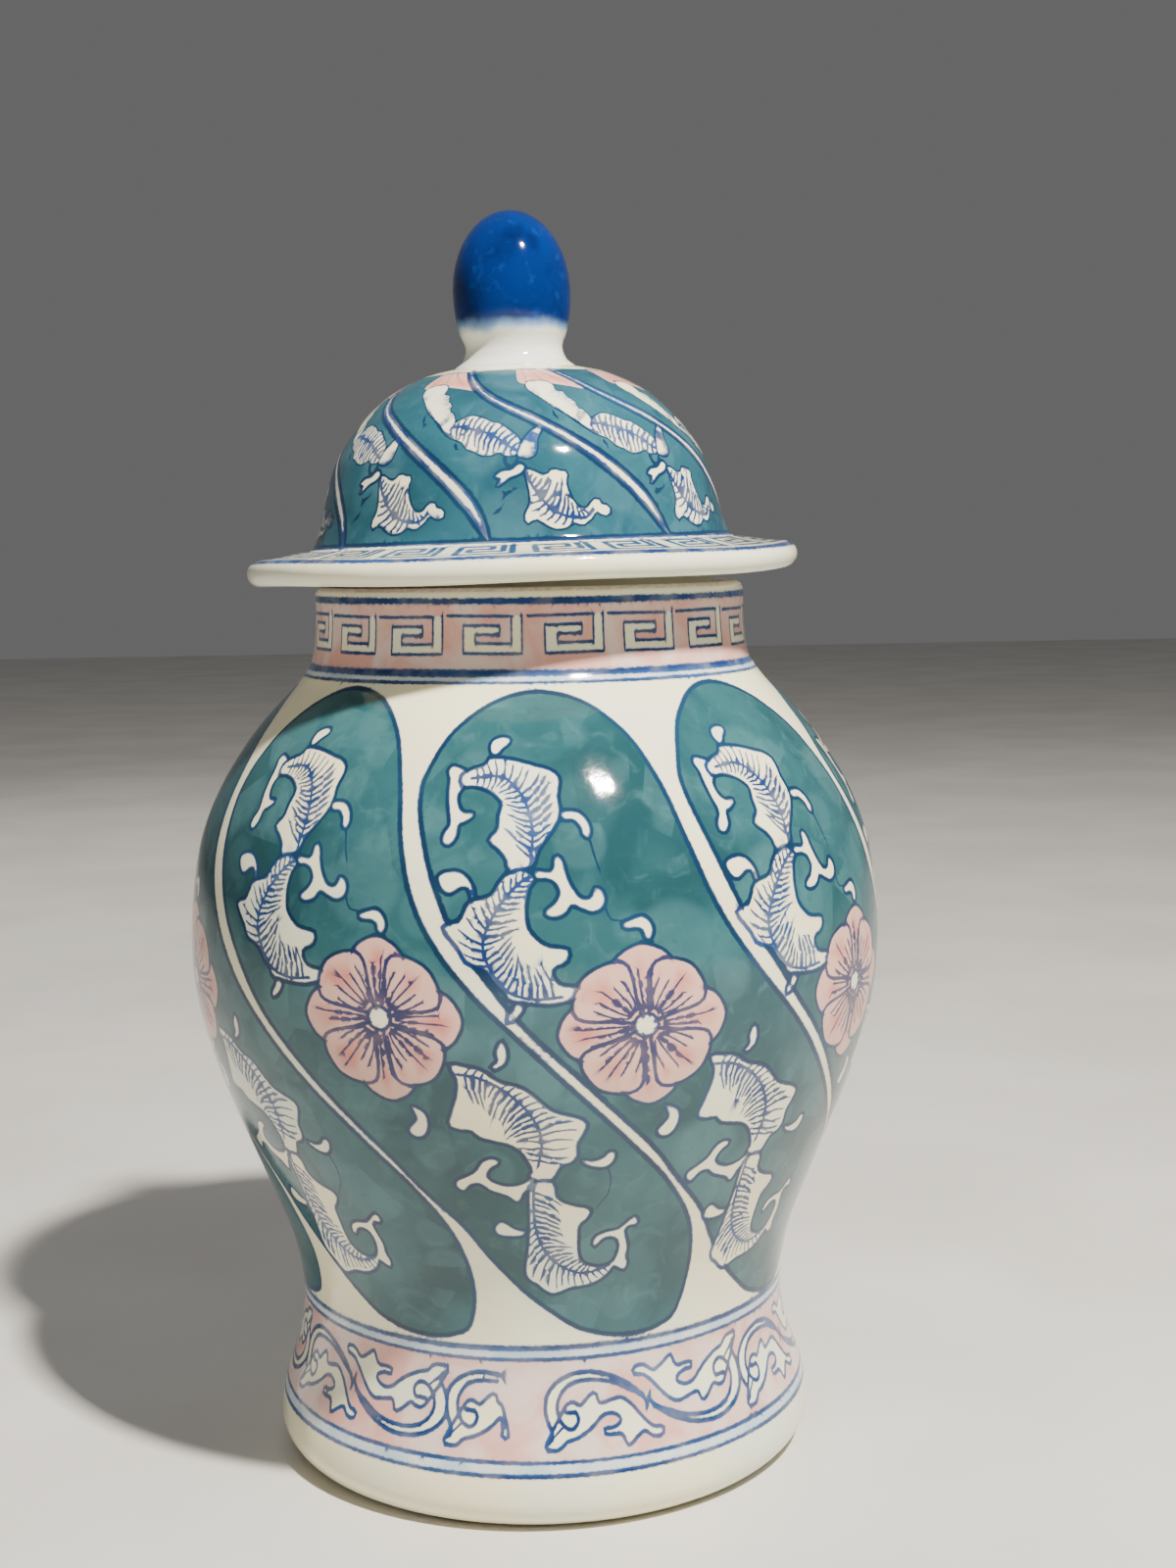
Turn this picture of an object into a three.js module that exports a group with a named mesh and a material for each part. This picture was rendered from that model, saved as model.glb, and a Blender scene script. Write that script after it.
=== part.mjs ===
// Ginger jar: a thrown and turned porcelain jar with a spiral-panelled body, and a domed lid
// with a wide brim, a locating collar that drops into the neck, and an egg-shaped finial.
//
// Millimetres, +Z up. The origin is the centre of the foot, on the surface the jar stands on.
// Every piece is a solid of revolution about Z.

import * as THREE from "three";

// ---- driving dimensions ------------------------------------------------------------------

const TOTAL_HEIGHT = 300;
const JOINT_GAP = 0.3;          // clearance left between pieces that touch

const FOOT_RADIUS = 66.5;       // widest point of the rounded foot
const FOOT_ROLL = 8;            // height at which the foot is widest
const FOOT_RING_OUTER = 58.5;   // unglazed ring that meets the table
const FOOT_RING_INNER = 51;
const FOOT_RECESS = 5;          // depth of the turned hollow under the floor
const RECESS_DRAFT = 1.5;       // how much the hollow narrows towards its top
const FLOOR_THICKNESS = 6;
const FLOOR_ROUND = [14, 9];    // reach and height of the curve between floor and wall

const WAIST_RADIUS = 60;
const BELLY_RADIUS = 84.3;
const NECK_RADIUS = 52.1;
const RIM_HEIGHT = 212;         // top of the neck
const BODY_WALL = 4.8;
const NECK_WALL = 4.6;

const BRIM_RADIUS = 66.7;
const BRIM_LIP = 3.1;           // radius of the rounded edge of the brim
const BRIM_UNDERSIDE = RIM_HEIGHT + JOINT_GAP;
const BRIM_THICKNESS = 2 * BRIM_LIP;
const DOME_FOOT_RADIUS = 50.8;
const DOME_WALL = 4.6;
const DOME_FLAT = 4;            // radius within which the inside of the dome is flat
const BRIM_SHOULDER = [56, 0.8];    // where the brim's top starts to rise, and by how much

const COLLAR_OUTER = 45.2;
const COLLAR_WALL = 3.6;
const COLLAR_DEPTH = 11;
const COLLAR_LET_IN = 3;        // how far the collar goes up into the cover
const SOCKET_TOP_GAP = 0.8;     // space round the collar at the top of its socket
const SOCKET_MOUTH_GAP = 1.6;   // and at its mouth
const SOCKET_HEIGHT = 3.4;

const KNOB_SEAT_RADIUS = 14.6;  // where the finial's stem meets the dome
const KNOB_SEAT_HEIGHT = 262.6;
const KNOB_SEAT_MARGIN = 0.2;   // the stem is this much narrower than its seat
const KNOB_WAIST_RADIUS = 11.7;
const KNOB_RADIUS = 14.2;
const KNOB_WIDEST = 280.8;      // height of the knob's widest point

const BODY_STEPS = 60;          // segments round the jar and the lid
const KNOB_STEPS = 36;
const OUTSIDE_POINTS = 27;      // points along the body's outer wall
const HOLLOW_POINTS = 19;       // points along the body's inner wall
const DOME_POINTS = 14;         // points along each wall of the dome
const STEM_POINTS = 8;          // points along the finial's stem
const EGG_STEPS = 9;            // steps up the finial's rounded end
const ROUND_STEPS = 6;          // steps round the foot, the rim and the brim's lip
const SMALL_ROUND_STEPS = 4;    // steps round the floor's edge and the collar's foot

// ---- profile helpers: lists of [radius, height] in millimetres ------------------------------

/** Points of a smooth curve through a few [radius, height] places. */
function smooth(points, count) {
  const curve = new THREE.CatmullRomCurve3(
    points.map(([radius, height]) => new THREE.Vector3(radius, height, 0)),
    false,
    "centripetal",
  );
  return curve.getSpacedPoints(count).map((point) => [point.x, point.y]);
}

/** Points of an elliptical arc; angles are in degrees, measured from straight outwards. */
function arc(centre, radii, from, to, count) {
  return Array.from({ length: count + 1 }, (_, step) => {
    const angle = THREE.MathUtils.degToRad(from + ((to - from) * step) / count);
    return [centre[0] + radii[0] * Math.cos(angle), centre[1] + radii[1] * Math.sin(angle)];
  });
}

/** The same outline moved inwards by a wall thickness, square to its own direction. */
function inset(points, wall) {
  return points.map(([radius, height], index) => {
    const before = points[Math.max(index - 1, 0)];
    const after = points[Math.min(index + 1, points.length - 1)];
    const run = [after[0] - before[0], after[1] - before[1]];
    const length = Math.hypot(run[0], run[1]);
    return [radius - (wall * run[1]) / length, height + (wall * run[0]) / length];
  });
}

/** A named mesh made by turning a closed [radius, height] outline about the Z axis. */
function turned(name, outline, steps, material) {
  const profile = outline.map(([radius, height]) => new THREE.Vector2(radius, height));
  if (profile[0].x !== 0) profile.push(profile[0].clone());
  const geometry = new THREE.LatheGeometry(profile, steps);
  geometry.rotateX(Math.PI / 2);
  const mesh = new THREE.Mesh(geometry, material);
  mesh.name = name;
  return mesh;
}

// ---- materials -----------------------------------------------------------------------------

const bodyGlaze = new THREE.MeshStandardMaterial({ color: 0x3f7f80, roughness: 0.12, metalness: 0 });
const lidGlaze = new THREE.MeshStandardMaterial({ color: 0x4c8482, roughness: 0.12, metalness: 0 });
const whiteGlaze = new THREE.MeshStandardMaterial({ color: 0xe6e3d4, roughness: 0.15, metalness: 0 });
const blueGlaze = new THREE.MeshStandardMaterial({ color: 0x0d4a9e, roughness: 0.08, metalness: 0 });

// ---- jar body --------------------------------------------------------------------------------

/** Outside of the jar, from just above the foot's roll up to the neck below the rim. */
function bodyWall(count) {
  return smooth(
    [
      [FOOT_RADIUS, FOOT_ROLL],
      [65.3, 15],
      [61.3, 27],
      [WAIST_RADIUS, 39.5],
      [62.5, 54],
      [68.6, 70],
      [77.2, 91.5],
      [82.9, 111],
      [BELLY_RADIUS, 128],
      [82.3, 147.5],
      [77.3, 162],
      [68.9, 175.6],
      [61.3, 184.4],
      [56.2, 189.6],
      [53.1, 195],
      [NECK_RADIUS, 203],
    ],
    count,
  );
}

function jarBody() {
  const outside = bodyWall(OUTSIDE_POINTS);
  const foot = arc(
    [FOOT_RING_OUTER, FOOT_ROLL],
    [FOOT_RADIUS - FOOT_RING_OUTER, FOOT_ROLL],
    -90,
    0,
    ROUND_STEPS,
  );
  const rim = arc(
    [NECK_RADIUS - NECK_WALL / 2, RIM_HEIGHT - NECK_WALL / 2],
    [NECK_WALL / 2, NECK_WALL / 2],
    0,
    180,
    ROUND_STEPS,
  );
  const floorTop = FOOT_RECESS + FLOOR_THICKNESS;
  const hollow = inset(bodyWall(HOLLOW_POINTS), BODY_WALL)
    .filter(([, height]) => height > floorTop + FLOOR_ROUND[1])
    .reverse();
  const floorEdge = hollow[hollow.length - 1][0] - FLOOR_ROUND[0];
  const floorRound = arc([floorEdge, floorTop + FLOOR_ROUND[1]], FLOOR_ROUND, 0, -90, SMALL_ROUND_STEPS);
  return turned(
    "jar_body",
    [
      [0, FOOT_RECESS],
      [FOOT_RING_INNER - RECESS_DRAFT, FOOT_RECESS],
      [FOOT_RING_INNER, 0],
      ...foot,
      ...outside.slice(1),
      ...rim,
      ...hollow,
      ...floorRound,
      [0, floorTop],
    ],
    BODY_STEPS,
    bodyGlaze,
  );
}

// ---- lid -------------------------------------------------------------------------------------

/** Outside of the dome, from its foot on the brim up to the seat of the finial. */
function domeWall() {
  return smooth(
    [
      [DOME_FOOT_RADIUS, 221],
      [48.7, 226.5],
      [47, 233.4],
      [44, 241.8],
      [38.4, 249.7],
      [32, 255.8],
      [25.2, 259.7],
      [19.2, 261.7],
      [KNOB_SEAT_RADIUS, KNOB_SEAT_HEIGHT],
    ],
    DOME_POINTS,
  );
}

function lidCover() {
  const outside = domeWall();
  const lip = arc(
    [BRIM_RADIUS - BRIM_LIP, BRIM_UNDERSIDE + BRIM_LIP],
    [BRIM_LIP, BRIM_LIP],
    -90,
    90,
    ROUND_STEPS,
  );
  const brimTop = BRIM_UNDERSIDE + BRIM_THICKNESS;
  const hollow = inset(outside, DOME_WALL)
    .filter(([radius, height]) => radius > DOME_FLAT && height > brimTop)
    .reverse();
  return turned(
    "lid_cover",
    [
      [0, KNOB_SEAT_HEIGHT - DOME_WALL],
      ...hollow,
      [COLLAR_OUTER + SOCKET_TOP_GAP, BRIM_UNDERSIDE + SOCKET_HEIGHT],
      [COLLAR_OUTER + SOCKET_MOUTH_GAP, BRIM_UNDERSIDE],
      ...lip,
      [BRIM_SHOULDER[0], brimTop + BRIM_SHOULDER[1]],
      ...outside,
      [0, KNOB_SEAT_HEIGHT],
    ],
    BODY_STEPS,
    lidGlaze,
  );
}

/** The plain ring luted under the brim, which keeps the lid centred in the neck. */
function lidCollar() {
  const inner = COLLAR_OUTER - COLLAR_WALL;
  const top = BRIM_UNDERSIDE + COLLAR_LET_IN;
  const foot = arc(
    [inner + COLLAR_WALL / 2, BRIM_UNDERSIDE - COLLAR_DEPTH + COLLAR_WALL / 2],
    [COLLAR_WALL / 2, COLLAR_WALL / 2],
    180,
    360,
    SMALL_ROUND_STEPS,
  );
  return turned("lid_collar", [[inner, top], ...foot, [COLLAR_OUTER, top]], BODY_STEPS, whiteGlaze);
}

/** The egg-shaped finial on its flared stem. */
function lidKnob() {
  const base = KNOB_SEAT_HEIGHT + JOINT_GAP;
  const stem = smooth(
    [
      [KNOB_SEAT_RADIUS - KNOB_SEAT_MARGIN, base],
      [12.5, 264.6],
      [KNOB_WAIST_RADIUS, 266.9],
      [12.9, 271],
      [13.95, 276],
      [KNOB_RADIUS, KNOB_WIDEST],
    ],
    STEM_POINTS,
  );
  const egg = arc([0, KNOB_WIDEST], [KNOB_RADIUS, TOTAL_HEIGHT - KNOB_WIDEST], 0, 90, EGG_STEPS);
  egg[egg.length - 1] = [0, TOTAL_HEIGHT];
  return turned("lid_knob", [[0, base], ...stem, ...egg.slice(1)], KNOB_STEPS, blueGlaze);
}

// ---- assembly ----------------------------------------------------------------------------------

const jar = new THREE.Group();
jar.name = "ginger_jar";

const lid = new THREE.Group();
lid.name = "lid";
lid.add(lidCover(), lidCollar(), lidKnob());

jar.add(jarBody(), lid);

export default jar;
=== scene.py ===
"""Ginger jar: the painted porcelain, its lid, a studio floor, soft lights and the camera.

Each glazed piece is one closed surface of revolution. Its decoration is drawn as outlines and
brush lines on the unrolled wall: x runs round the piece, y runs up the wall along its surface,
both in millimetres. The wall is then triangulated along every outline, so each enamel has a true
edge, and every vertex is put back exactly on the turned surface.
"""

import math
from collections import namedtuple

import bmesh
import bpy
import numpy as np
from mathutils import Matrix, Vector, kdtree
from mathutils.geometry import delaunay_2d_cdt


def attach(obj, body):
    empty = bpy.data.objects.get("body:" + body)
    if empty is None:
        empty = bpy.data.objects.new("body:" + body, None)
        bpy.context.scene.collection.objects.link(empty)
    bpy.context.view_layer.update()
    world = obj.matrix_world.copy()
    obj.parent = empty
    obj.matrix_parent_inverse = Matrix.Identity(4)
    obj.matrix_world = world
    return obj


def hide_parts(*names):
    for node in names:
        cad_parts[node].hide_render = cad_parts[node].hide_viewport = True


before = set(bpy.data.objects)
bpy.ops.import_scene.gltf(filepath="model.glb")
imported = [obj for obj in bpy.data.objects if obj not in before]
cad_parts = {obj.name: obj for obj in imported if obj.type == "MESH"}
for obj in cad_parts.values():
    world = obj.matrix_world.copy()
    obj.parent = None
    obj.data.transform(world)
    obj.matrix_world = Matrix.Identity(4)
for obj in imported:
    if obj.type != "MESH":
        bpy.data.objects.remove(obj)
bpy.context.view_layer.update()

MM = 0.001
RANDOM = np.random.default_rng(162)

# ---------------------------------------------------------------------------------------------
# Setting out
# ---------------------------------------------------------------------------------------------

PANELS = 8                     # spiral panels round the body, and round the lid
BODY_RULE = 80.0               # radius at which one unit of the body's x is one millimetre
BODY_TURN = 2 * math.pi * BODY_RULE
PANEL_PITCH = BODY_TURN / PANELS
FOOT_LEVEL = 20.6              # y of the widest point of the foot
LID_RULE = 50.0                # the same rule for the lid
LID_TURN = 2 * math.pi * LID_RULE

LID_TILT = math.radians(1.26)  # the lid sits a little crooked in the neck
LID_SHIFT = -1.6
LID_REST = 1.0                 # lift that keeps the crooked brim clear of the rim
BRIM_WAVE = 0.55               # height of the brim's kiln warp

GRID_STEP = 4.6                # spacing of the plain grid between painted details
GRID_ROW = 0.87                # height of the grid's rows, in steps
GRID_CLEAR = 0.55              # how far the grid stands off other points, in steps
COLUMNS = 180                  # segments round the unpainted surfaces
PLAIN_ROWS = (12, 8)           # degrees of bend, or mm, for each row of an unpainted surface
PAINTED_ROWS = (16, GRID_STEP)  # the same for a painted one
TIGHT_ROWS = 2.0               # painted rows nearer than this run right round, as at a bend
LINE_STEP = 1.25               # spacing of points along outlines and brush lines
RING_STEP = 2.4                # spacing of points along lines painted right round a piece
BAND_STEP = 4.0                # spacing of points along the edges of a painted band
PROFILE_STEP = 0.8             # spacing of points along a profile's straight stretches
SPAN_POINTS = 8                # points worked out on each span of a smooth curve
SEAM_GAP = 1e-6                # corners this close (m) are one corner

BRUSH_REACH = 0.9              # how far a brush line's colour reaches, in widths
FINE_LINE = 0.46               # width of the finest strokes
POINT_GAP = 0.39               # between points beside lines; less than a fine line's reach
MARK_STEP = 0.35               # spacing of the marks that stand for a brush line
MARK_HALF = 0.25               # a mark stands for its line this far ahead and behind
MARKS_NEAR = 5                 # how many marks can colour one place
SEAM_REACH = 2.0               # marks this far beyond the seam are kept
OUTLINE_SHIFT = 0.3            # how far outside its shape an outline is drawn, in widths
RIB_GAP = 0.75                 # a leaf's stroke stops this far short of the one before it
SHORTEST_RIB = 1.5

WHITE, TEAL, PINK, BLUSH, WASH, BISCUIT = range(6)


# ---------------------------------------------------------------------------------------------
# Curves in the plane
# ---------------------------------------------------------------------------------------------

def points(*pairs):
    """A list of x, y places as an array."""
    return np.array(pairs, float)


def smooth(control, step=LINE_STEP, closed=False):
    """Evenly spaced points on a Catmull-Rom curve through a few control points."""
    control = np.asarray(control, float)
    count = len(control)
    spans = count if closed else count - 1
    share = np.arange(SPAN_POINTS)[:, None] / SPAN_POINTS
    pieces = []
    for span in range(spans):
        if closed:
            a, b, c, d = (control[(span + k) % count] for k in (-1, 0, 1, 2))
        else:
            a, b, c, d = (control[min(max(span + k, 0), count - 1)] for k in (-1, 0, 1, 2))
        pieces.append(
            0.5 * (2 * b + (c - a) * share + (2 * a - 5 * b + 4 * c - d) * share**2
                   + (3 * b - a - 3 * c + d) * share**3)
        )
    pieces.append(control[:1] if closed else control[-1:])
    return even(np.vstack(pieces), step, closed)


def lengths(path):
    """How far along a path each of its points is."""
    return np.concatenate([[0], np.cumsum(np.hypot(*np.diff(path, axis=0).T))])


def even(path, step, closed=False):
    """The same path with evenly spaced points; a closed one doesn't repeat its first point."""
    length = lengths(path)
    count = max(2, int(round(length[-1] / step)))
    at = np.linspace(0, length[-1], count + 1)
    if closed:
        at = at[:-1]
    return np.stack([np.interp(at, length, path[:, 0]), np.interp(at, length, path[:, 1])], -1)


def straight(path, step=LINE_STEP, closed=False):
    """A path with sharp corners, filled in along its straight runs."""
    path = np.asarray(path, float)
    if closed:
        path = np.vstack([path, path[:1]])
    runs = [even(path[k:k + 2], step)[:-1] for k in range(len(path) - 1)]
    if not closed:
        runs.append(path[-1:])
    return np.vstack(runs)


def tangents(path, closed=False):
    """Unit direction of a path at each of its points."""
    if closed:
        run = np.roll(path, -1, 0) - np.roll(path, 1, 0)
    else:
        run = np.gradient(path, axis=0)
    return run / np.maximum(np.hypot(*run.T), 1e-9)[:, None]


def left_of(ways):
    """Unit directions square to other ones, to their left."""
    return np.stack([-ways[:, 1], ways[:, 0]], -1)


def turned(shape, degrees, about=(0, 0)):
    """A shape turned anticlockwise about a point."""
    angle = math.radians(degrees)
    spin = np.array([[math.cos(angle), -math.sin(angle)], [math.sin(angle), math.cos(angle)]])
    return (shape - np.array(about)) @ spin.T + about


# ---------------------------------------------------------------------------------------------
# A painting: areas of enamel and brush lines on one unrolled wall
# ---------------------------------------------------------------------------------------------

Line = namedtuple("Line", "path width force closed under")   # under: areas painted before it
Bloom = namedtuple("Bloom", "middle reach stretch petals")   # pink, deeper towards petals' tips


class Painting:
    """Areas and lines on a wall that is `turn` round and runs from y `low` to `high`."""

    def __init__(self, turn, low, high):
        self.turn = turn
        self.low = low
        self.high = high
        self.areas = []
        self.lines = []
        self.blooms = []
        self.hand = lambda path: path

    def area(self, outline, enamel):
        """Fills a closed outline; later areas cover earlier ones."""
        self.areas.append((self.hand(outline), enamel))

    def band(self, low, high, enamel):
        """Fills a whole ring between two heights."""
        half = self.turn / 2
        ring = straight([(-half, low), (half, low), (half, high), (-half, high)], BAND_STEP, True)
        self.areas.append((ring, enamel))

    def line(self, path, width, start=1.0, end=None, closed=False):
        """A brush line whose strength runs from `start` to `end` along its length."""
        path = self.hand(np.asarray(path, float))
        force = np.linspace(start, start if end is None else end, len(path))
        self.lines.append(Line(path, float(width), force, closed, len(self.areas)))

    def ring(self, height, width, strength=1.0, wander=0.12):
        """A line painted right round the piece on the wheel, with a little wander."""
        x = np.linspace(-self.turn / 2, self.turn / 2, int(self.turn / RING_STEP) + 1)
        angle = 2 * math.pi * x / self.turn
        phase = RANDOM.uniform(0, 2 * math.pi, 3)
        y = height + wander * (np.sin(angle + phase[0]) + 0.6 * np.sin(3 * angle + phase[1]))
        force = strength * (0.9 + 0.1 * np.sin(5 * angle + phase[2]))
        self.lines.append(Line(np.stack([x, y], -1), float(width), force, False, len(self.areas)))

    def outlined(self, control, enamel=WHITE, width=0.85, strength=1.0, step=1.2):
        """A smooth closed area with a brush line round its edge; returns its outline."""
        outline = anticlockwise(smooth(control, step, closed=True))
        self.area(outline, enamel)
        self.line(outline + outwards(outline) * OUTLINE_SHIFT * width, width, strength, closed=True)
        return outline


def copies(path, turn):
    """A shape moved onto the unrolled wall, and again beyond the seam if it crosses it."""
    middle = (path[:, 0].min() + path[:, 0].max()) / 2
    path = path - (turn * round(middle / turn), 0)
    found = [path]
    if path[:, 0].max() > turn / 2:
        found.append(path - (turn, 0))
    if path[:, 0].min() < -turn / 2:
        found.append(path + (turn, 0))
    return found


def anticlockwise(outline):
    """The same closed outline, run anticlockwise."""
    ahead = np.roll(outline, -1, 0)
    turn = (outline[:, 0] * ahead[:, 1] - ahead[:, 0] * outline[:, 1]).sum()
    return outline if turn > 0 else outline[::-1]


def outwards(outline):
    """Unit directions square to an anticlockwise outline, pointing out of it."""
    return -left_of(tangents(outline, closed=True))


def inside(places, outline):
    """Which places lie inside a closed outline."""
    found = np.zeros(len(places), bool)
    near = np.all((places >= outline.min(0)) & (places <= outline.max(0)), axis=1)
    x, y = places[near].T
    within = np.zeros(len(x), bool)
    for (ax, ay), (bx, by) in zip(outline, np.roll(outline, -1, 0)):
        if ay != by:
            crosses = (ay > y) != (by > y)
            within ^= crosses & (x < (bx - ax) * (y - ay) / (by - ay) + ax)
    found[near] = within
    return found


def brush_marks(painting):
    """Every visible stretch of brush line as close-set marks: place, direction, reach, strength."""
    covers = [outline for outline, enamel in painting.areas]
    boxes = np.array([[*outline.min(0), *outline.max(0)] for outline in covers])
    marks = []
    for line in painting.lines:
        loop = np.vstack([line.path, line.path[:1]]) if line.closed else line.path
        force = np.append(line.force, line.force[0]) if line.closed else line.force
        length = lengths(loop)
        at = np.linspace(0, length[-1], max(2, int(length[-1] / MARK_STEP)) + 1)
        where = np.stack([np.interp(at, length, loop[:, k]) for k in (0, 1)], -1)
        low, high = where.min(0), where.max(0)
        shown = np.ones(len(at), bool)
        later = boxes[line.under:]
        meets = (later[:, :2] < high).all(1) & (later[:, 2:] > low).all(1)
        for index in np.flatnonzero(meets):
            shown &= ~inside(where, covers[line.under + index])
        mark = np.column_stack([
            where, tangents(where), np.full(len(at), BRUSH_REACH * line.width),
            np.interp(at, length, force),
        ])[shown]
        for shift in (-painting.turn, 0, painting.turn):
            moved = mark + (shift, 0, 0, 0, 0, 0)
            marks.append(moved[np.abs(moved[:, 0]) < painting.turn / 2 + SEAM_REACH])
    return np.vstack(marks)


def ink_at(places, marks):
    """How much brush colour lies at each place: 1 on a line's middle, 0 beyond its edge."""
    tree = kdtree.KDTree(len(marks))
    for index, mark in enumerate(marks):
        tree.insert((mark[0], mark[1], 0), index)
    tree.balance()
    ink = np.zeros(len(places))
    for index, (x, y) in enumerate(places):
        for _, found, distance in tree.find_n((x, y, 0), MARKS_NEAR):
            px, py, tx, ty, half, force = marks[found]
            along = (x - px) * tx + (y - py) * ty
            if abs(along) < MARK_HALF:
                distance = abs((x - px) * ty - (y - py) * tx)
            ink[index] = max(ink[index], force * (1 - distance / half))
    return np.clip(ink, 0, 1)


def thin(candidates, taken, gap):
    """The candidates that stand at least `gap` from every point kept before them."""
    cells = {}
    for x, y in taken:
        cells.setdefault((int(x // gap), int(y // gap)), []).append((x, y))
    kept = []
    for x, y in candidates:
        column, row = int(x // gap), int(y // gap)
        near = (
            other
            for i in (column - 1, column, column + 1)
            for j in (row - 1, row, row + 1)
            for other in cells.get((i, j), ())
        )
        if all((x - a) ** 2 + (y - b) ** 2 >= gap * gap for a, b in near):
            cells.setdefault((column, row), []).append((x, y))
            kept.append((x, y))
    return kept


def triangulate(painting, rows):
    """Splits the wall along every outline and line. Returns places, triangles and enamels."""
    half = painting.turn / 2
    low, high = painting.low, painting.high
    verts = []
    edges = []
    faces = []
    enamels = []
    for outline, enamel in painting.areas:
        for shape in copies(anticlockwise(outline), painting.turn):
            start = len(verts)
            verts.extend(map(tuple, shape))
            faces.append(list(range(start, start + len(shape))))
            enamels.append(enamel)
    for line in painting.lines:
        for shape in copies(line.path, painting.turn):
            start = len(verts)
            verts.extend(map(tuple, shape))
            edges.extend((start + k, start + k + 1) for k in range(len(shape) - 1))
            if line.closed:
                edges.append((start + len(shape) - 1, start))

    columns = np.linspace(-half, half, COLUMNS + 1)
    frame_path = (
        [(x, low) for x in columns] + [(half, y) for y in rows[1:]]
        + [(x, high) for x in columns[::-1][1:]] + [(-half, y) for y in rows[::-1][1:-1]]
    )
    start = len(verts)
    verts.extend(frame_path)
    edges.extend((start + k, start + (k + 1) % len(frame_path)) for k in range(len(frame_path)))

    free = []
    for line in painting.lines:
        side = left_of(tangents(line.path, line.closed)) * line.width * BRUSH_REACH
        for shape in copies(line.path, painting.turn):
            for sign in (-1, 1):
                free.extend(map(tuple, shape + side * sign))
    tight = rows[1:-1][np.diff(rows)[1:] < TIGHT_ROWS]
    free.extend((x, y) for y in tight for x in columns[1:-1])
    verts.extend(thin(free, verts, POINT_GAP))
    grid = [
        (x + (row % 2) * GRID_STEP / 2, y)
        for row, y in enumerate(np.arange(low + GRID_STEP, high - 1, GRID_STEP * GRID_ROW))
        for x in np.arange(-half + 1, half - 1, GRID_STEP)
    ]
    verts.extend(thin(grid, verts, GRID_STEP * GRID_CLEAR))

    result = delaunay_2d_cdt([Vector(v) for v in verts], edges, faces, 0, 1e-5)
    places = np.array([tuple(v) for v in result[0]])
    triangles = np.array([f for f in result[2]])
    enamel_of = np.array([enamels[max(owners)] if owners else WHITE for owners in result[5]])
    middle = places[triangles].mean(1)
    kept = (np.abs(middle[:, 0]) < half) & (middle[:, 1] > low) & (middle[:, 1] < high)
    used, corners = np.unique(triangles[kept], return_inverse=True)
    return places[used], corners.reshape(-1, 3), enamel_of[kept]


# ---------------------------------------------------------------------------------------------
# Turned surfaces
# ---------------------------------------------------------------------------------------------

class Profile:
    """A [radius, height] outline in millimetres, measured along its own length."""

    def __init__(self, outline, step=0.4):
        self.path = even(np.asarray(outline, float), step)
        self.y = lengths(self.path)
        self.normal = -left_of(tangents(self.path))

    @property
    def low(self):
        return float(self.y[0])

    @property
    def high(self):
        return float(self.y[-1])

    def at(self, y):
        """Radius and height at y, and the outline's unit normal there."""
        radius, height = (np.interp(y, self.y, self.path[:, k]) for k in (0, 1))
        out, up = (np.interp(y, self.y, self.normal[:, k]) for k in (0, 1))
        return radius, height, out, up

    def rows(self, low, high, turn, rise):
        """The y of mesh rows between two y: one every `turn` degrees or `rise` mm, or oftener."""
        way = np.arctan2(self.normal[:, 1], self.normal[:, 0])
        bends = np.abs((np.diff(way) + math.pi) % (2 * math.pi) - math.pi)
        bend = np.concatenate([[0], np.cumsum(bends)])
        effort = bend / math.radians(turn) + (self.y - self.low) / rise
        first, last = np.interp([low, high], self.y, effort)
        inner = np.interp(np.linspace(first, last, int(last - first) + 3)[1:-1], effort, self.y)
        return np.concatenate([[low], inner, [high]])

    def y_of(self, radius, height):
        """The y of the outline's nearest place to [radius, height]."""
        return float(self.y[np.argmin(np.hypot(*(self.path - (radius, height)).T))])

    def shift_to(self, radius, height, y):
        """Renumbers y so that a place on the outline has a given y."""
        self.y = self.y + (y - self.y_of(radius, height))


def arc(centre, radii, start, end, count=12):
    """Points of an elliptical arc; angles in degrees from straight outwards."""
    angle = np.radians(np.linspace(start, end, count + 1))
    return np.stack([centre[0] + radii[0] * np.cos(angle), centre[1] + radii[1] * np.sin(angle)], -1)


def spun(x, y, rule, profile):
    """Positions (m) and normals of places on a turned surface."""
    radius, height, out, up = profile.at(y)
    angle = x / rule
    across, along = np.sin(angle), -np.cos(angle)
    position = np.stack([radius * across, radius * along, height], -1) * MM
    normal = np.stack([out * across, out * along, up], -1)
    return position, normal


def plain_part(profile, low, high, rule, enamel):
    """A plain stretch of the turned surface between two y."""
    rows = profile.rows(low, high, *PLAIN_ROWS)
    x = np.linspace(-math.pi * rule, math.pi * rule, COLUMNS + 1)
    grid_x, grid_y = np.meshgrid(x, rows)
    position, normal = spun(grid_x.ravel(), grid_y.ravel(), rule, profile)
    width = COLUMNS + 1
    corner = np.arange(len(rows) - 1)[:, None] * width + np.arange(COLUMNS)
    quads = np.stack([corner, corner + 1, corner + width + 1, corner + width], -1).reshape(-1, 4)
    return {"position": position, "normal": normal, "faces": quads, "enamel": enamel}


def plain_parts(profile, rule, levels, enamels):
    """Plain stretches one after another, with an enamel between each two levels."""
    spans = zip(levels, levels[1:], enamels)
    return [plain_part(profile, low, high, rule, enamel) for low, high, enamel in spans]


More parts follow.
